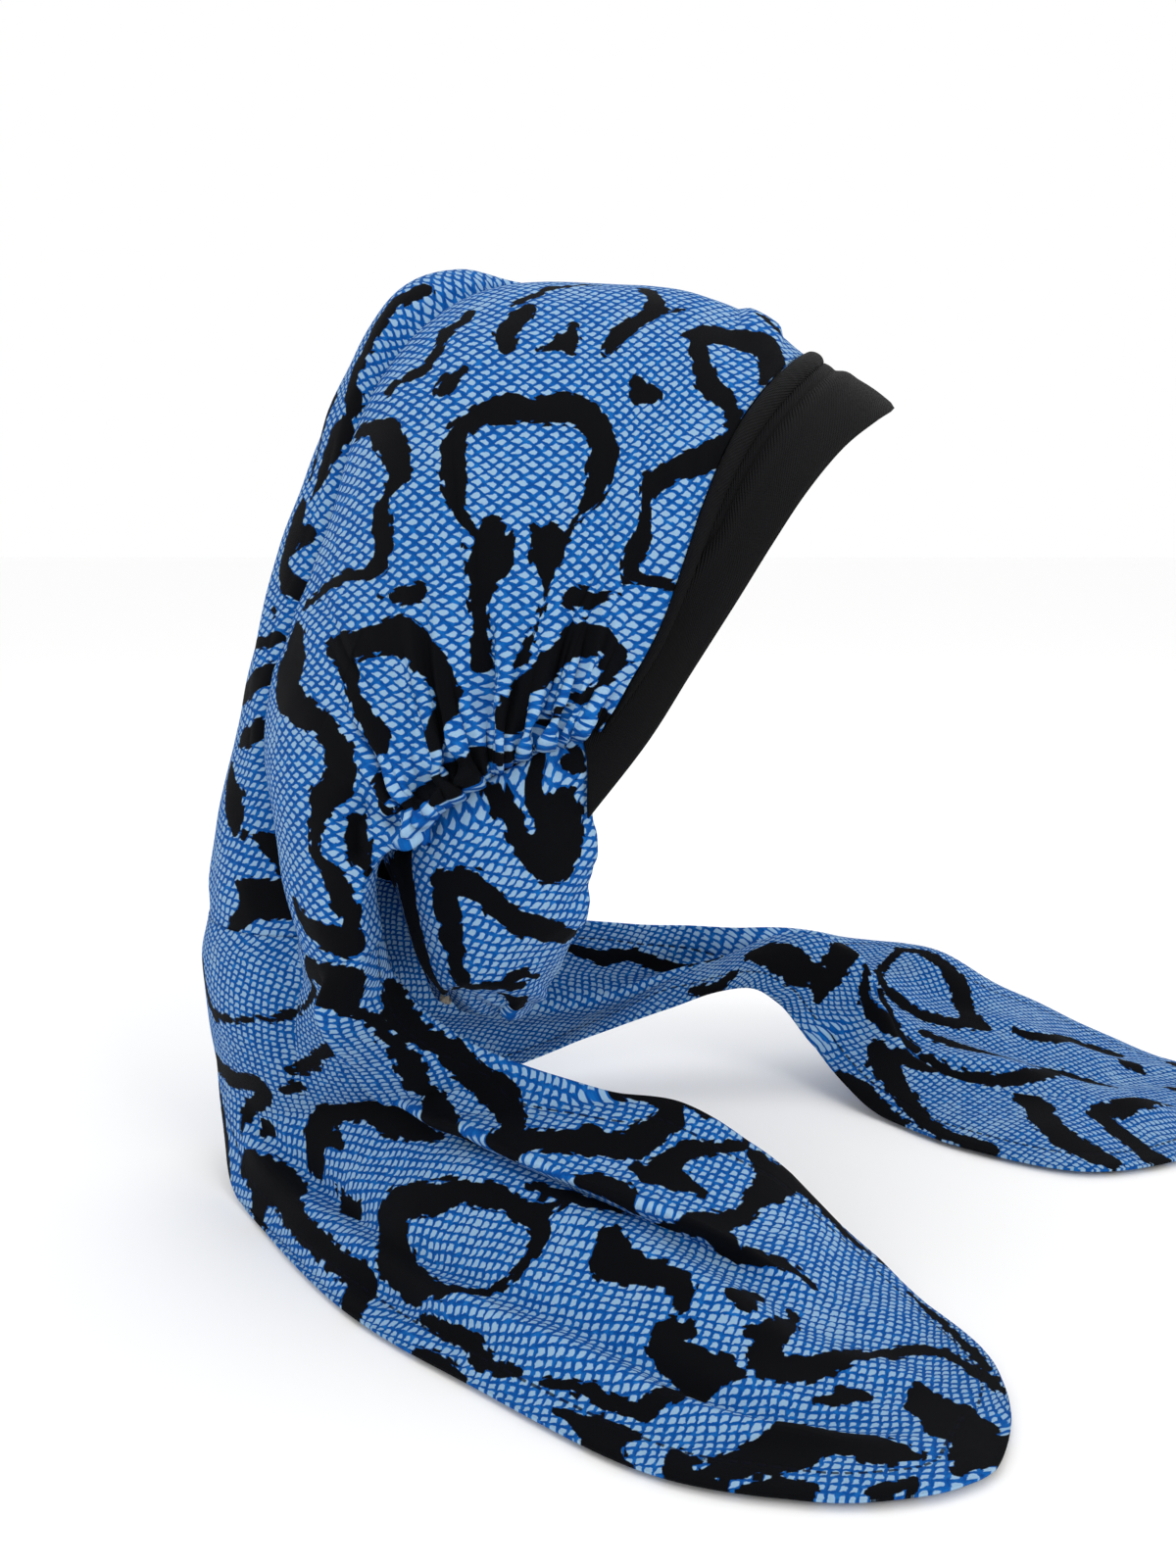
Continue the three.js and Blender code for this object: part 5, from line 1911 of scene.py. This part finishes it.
@dataclass
class FrontBand:
    """The black knit band over the forehead and the piped roll along its seam."""

    cap: Cap
    edge: Table = Table.of("faceX faceY faceZ roll", EDGE_ROWS)
    gap: float = 0.4
    proud: float = 0.5
    flatness: float = 0.72
    roll_end: float = 0.985
    pucker: float = 0.12
    dent: float = 0.35
    dent_at: float = -0.9
    dent_wide: float = 0.25
    bulge: float = 1.5
    tuck_from: float = 0.62
    tuck_over: float = 0.16
    tuck_back: float = 3.0
    tuck_under: float = 2.6
    end_back: float = 3.5
    ridges: tuple = ((0.5, 0.3, 0.1), (-0.7, 0.16, 0.07))
    wall: float = 2.2
    step: float = 0.01

    def frame_at(self, v: Array) -> tuple[Array, ...]:
        """The seam at v, from the right ear, -1, to the left, 1.

        Args:
            v: Where along the seam.

        Returns:
            The seam point, the face edge's point, the way across, the way out and the roll.
        """
        share = np.abs(v)
        side = np.where(v < 0, -1.0, 1.0)
        row = self.edge.read(share * self.edge.last)
        seam = self.cap.surface(0.0, share, side)
        face = np.stack([row["faceX"], side * row["faceY"], row["faceZ"]], -1)
        across = face - seam
        across /= np.linalg.norm(across, axis=-1, keepdims=True)
        ahead, behind = (
            self.cap.surface(0.0, np.minimum(np.abs(w), 1.0), np.where(w < 0, -1.0, 1.0))
            for w in (v + self.step, v - self.step)
        )
        outward = np.cross(across, ahead - behind)
        outward /= np.linalg.norm(outward, axis=-1, keepdims=True)
        return seam, face, across, outward, row["roll"][..., None]

    def make_band(self, material: bpy.types.Material) -> bpy.types.Object:
        """Towards each ear it is tucked back under the crown.

        Args:
            material: Its material.

        Returns:
            The piece.
        """
        u, s = share_grid(40, 300)
        seam, face, across, outward, roll = self.frame_at(2 * s - 1)
        share = np.abs(2 * s - 1)
        end = ease((share - self.tuck_from) / self.tuck_over)[..., None]
        start = seam + across * mix(2 * roll + self.gap * 1.2, -self.tuck_back, end)
        start -= outward * self.tuck_under * end
        start[..., 0] -= self.end_back * ease((share - 0.9) / 0.1)
        width = np.linalg.norm(face - start, axis=-1)
        lift = self.bulge * np.sin(np.pi * u)
        cloth = np.stack([u * width, lengthwise(mix(seam, face, 0.6), 1)], -1)
        lift += sum(high * bump((u - place) / wide) for high, place, wide in self.ridges)
        lift += 0.35 * smooth_noise(u * 4.0, cloth[..., 1] / 60.0, SEED + 120)
        points = mix(start, face, u[..., None]) + outward * lift[..., None]
        wall = self.wall * mix(0.5, 1.0, ease((1 - u) * width / 2.0))
        piece = cloth_piece("front_band_knit", [Patch(points, cloth, wall=wall)])
        finish(piece, material, "band_knit", "front_band")
        return piece

    def make_roll(self, material: bpy.types.Material) -> bpy.types.Object:
        """Builds the roll: a closed tube round a cord, puckered by its stitching, with a dent
        along the seam.

        Args:
            material: Its material.

        Returns:
            The piece.
        """
        s, k = share_grid(480, 28)
        v = mix(-self.roll_end, self.roll_end, s)
        seam, _, across, outward, roll = self.frame_at(v)
        centre = seam + across * (roll + self.gap) + outward * self.proud
        length = lengthwise(centre, 0)
        turn = 2 * np.pi * k
        pucker = self.pucker * smooth_noise(length / 1.6, turn * 1.5, SEED + 130)
        dent = self.dent * bump(np.sin((turn - self.dent_at) / 2) / self.dent_wide)
        radius = roll[..., 0] + pucker - dent
        points = centre + across * (radius * np.cos(turn))[..., None]
        points += outward * (radius * self.flatness * np.sin(turn))[..., None]
        points[[0, -1]] = centre[[0, -1]]
        return self.close_tube("roll_knit", points, np.stack([turn * 3.4, length], -1), material)

    def close_tube(
        self, name: str, points: Array, cloth: Array, material: bpy.types.Material
    ) -> bpy.types.Object:
        """Joins the rings of a tube whose first and last rings are single points.

        Args:
            name: The piece's name.
            points: The rings, one for each row.
            cloth: The cloth coordinates.
            material: Its material.

        Returns:
            The piece.
        """
        rings, sides = points.shape[0], points.shape[1] - 1
        body = points[1:-1, :-1].reshape(-1, 3)
        ids = np.arange(len(body)).reshape(rings - 2, sides)
        ids = np.concatenate([ids, ids[:, :1]], 1)
        quads = np.stack([ids[:-1, :-1], ids[1:, :-1], ids[1:, 1:], ids[:-1, 1:]], -1)
        tips = np.array([len(body), len(body) + 1])
        first = np.stack([np.full(sides, tips[0]), ids[0, :-1], ids[0, 1:]], -1)
        last = np.stack([np.full(sides, tips[1]), ids[-1, 1:], ids[-1, :-1]], -1)
        loops = np.concatenate([quads.ravel(), first.ravel(), last.ravel()])
        sizes = np.concatenate([np.full(quads.size // 4, 4), np.full(2 * sides, 3)])
        every = np.concatenate([body, points[[0, -1], 0]])
        mesh = make_mesh(name, every * MM, loops, sizes)
        flat = np.concatenate([cloth[1:-1, :-1].reshape(-1, 2), cloth[[0, -1], 0]])
        put_attribute(mesh, "cloth", flat)
        return finish(link(name, mesh), material, "band_knit", "band_roll")


# ------------------------------------------------------------------ the studio
@dataclass
class Studio:
    """The floor, the soft lights and the camera."""

    aim: tuple[float, float, float] = (-0.0154, 0.0, -0.163)
    reach: float = 0.52
    pitch: float = 10.0
    sight: float = 54.5
    floor: float = -0.3005

    def lamp(self, name: str, place: tuple, size: float, power: float, tint: tuple) -> None:
        """Adds a square soft light that faces the turban.

        Args:
            name: The lamp's name.
            place: Where it stands.
            size: The length of its side.
            power: Its power in watts.
            tint: The light's colour.
        """
        data = bpy.data.lights.new(name, "AREA")
        data.energy, data.size, data.color = power, size, tint
        lamp = bpy.data.objects.new(name, data)
        lamp.location = place
        towards = [a - b for a, b in zip(self.aim, place)]
        lamp.rotation_euler = (
            math.atan2(math.hypot(towards[0], towards[1]), -towards[2]),
            0.0,
            math.atan2(towards[1], towards[0]) - math.pi / 2,
        )
        bpy.context.scene.collection.objects.link(lamp)

    def make(self) -> None:
        """Builds the studio."""
        scene = bpy.context.scene
        scene.view_settings.view_transform = "Standard"
        world = bpy.data.worlds.new("studio")
        world.use_nodes = True
        background = next(n for n in world.node_tree.nodes if n.type == "BACKGROUND")
        background.inputs["Color"].default_value = (1.0, 1.0, 1.0, 1.0)
        background.inputs["Strength"].default_value = 1.0
        scene.world = world
        self.lamp("key", (0.8, -1.2, 0.7), 0.6, 6.0, (1.0, 0.98, 0.95))
        self.lamp("top", (-0.1, 0.3, 1.3), 1.0, 2.5, (1.0, 1.0, 1.0))
        points = np.array([(-8, -8, 0), (8, -8, 0), (8, 8, 0), (-8, 8, 0)], float)
        points[:, 2] = self.floor
        mesh = make_mesh("floor", points, np.arange(4), np.array([4]))
        n = Nodes("pale_floor")
        n.set(Base_Color=colour(252, 252, 252), Roughness=0.9)
        mesh.materials.append(n.material)
        link("floor", mesh)
        camera = bpy.data.objects.new("camera", bpy.data.cameras.new("camera"))
        tilt = math.radians(self.pitch)
        camera.location = (
            self.aim[0],
            self.aim[1] - self.reach * math.cos(tilt),
            self.aim[2] + self.reach * math.sin(tilt),
        )
        camera.rotation_euler = (math.pi / 2 - tilt, 0.0, 0.0)
        camera.data.sensor_fit = "VERTICAL"
        camera.data.sensor_height = 24.0
        camera.data.lens = 12.0 / math.tan(math.radians(self.sight) / 2)
        camera.data.clip_start = 0.01
        scene.collection.objects.link(camera)
        scene.camera = camera


def main() -> None:
    """Builds the turban, then the stage, the lights and the camera."""
    logging.basicConfig(level=logging.INFO, format="%(message)s")
    Studio().make()
    printed, knit = ScalePrint().make(), BandKnit().make()
    cap = Cap()
    band = FrontBand(cap)
    band.make_roll(knit)
    band.make_band(knit)
    Crown(cap).make(printed)
    BackPanel(cap).make(printed)
    right = Table.of(TAIL_COLUMNS, RIGHT_TAIL_ROWS)
    left = Table.of(TAIL_COLUMNS, LEFT_TAIL_ROWS)
    right_folds = Table.of(FOLD_COLUMNS, RIGHT_FOLD_ROWS)
    left_folds = Table.of(FOLD_COLUMNS, LEFT_FOLD_ROWS)
    Tail(
        cap, Side.RIGHT, right, right_folds, RIGHT_PLEAT, RIGHT_SPREAD, RIGHT_CREASES,
        RIGHT_STROKES, flat=(0.19, 0.30), area=0.0345,
    ).make(printed)
    Tail(
        cap, Side.LEFT, left, left_folds, LEFT_PLEAT, LEFT_SPREAD, LEFT_CREASES,
        LEFT_STROKES, flat=(0.16, 0.43), area=0.040, grain=-100.0, rows=300, across=120,
    ).make(printed)
    pouch = NapePouch()
    pouch.make(printed)
    NapeElastic(pouch).make(RibbedElastic().make())


if __name__ == "__main__":
    main()
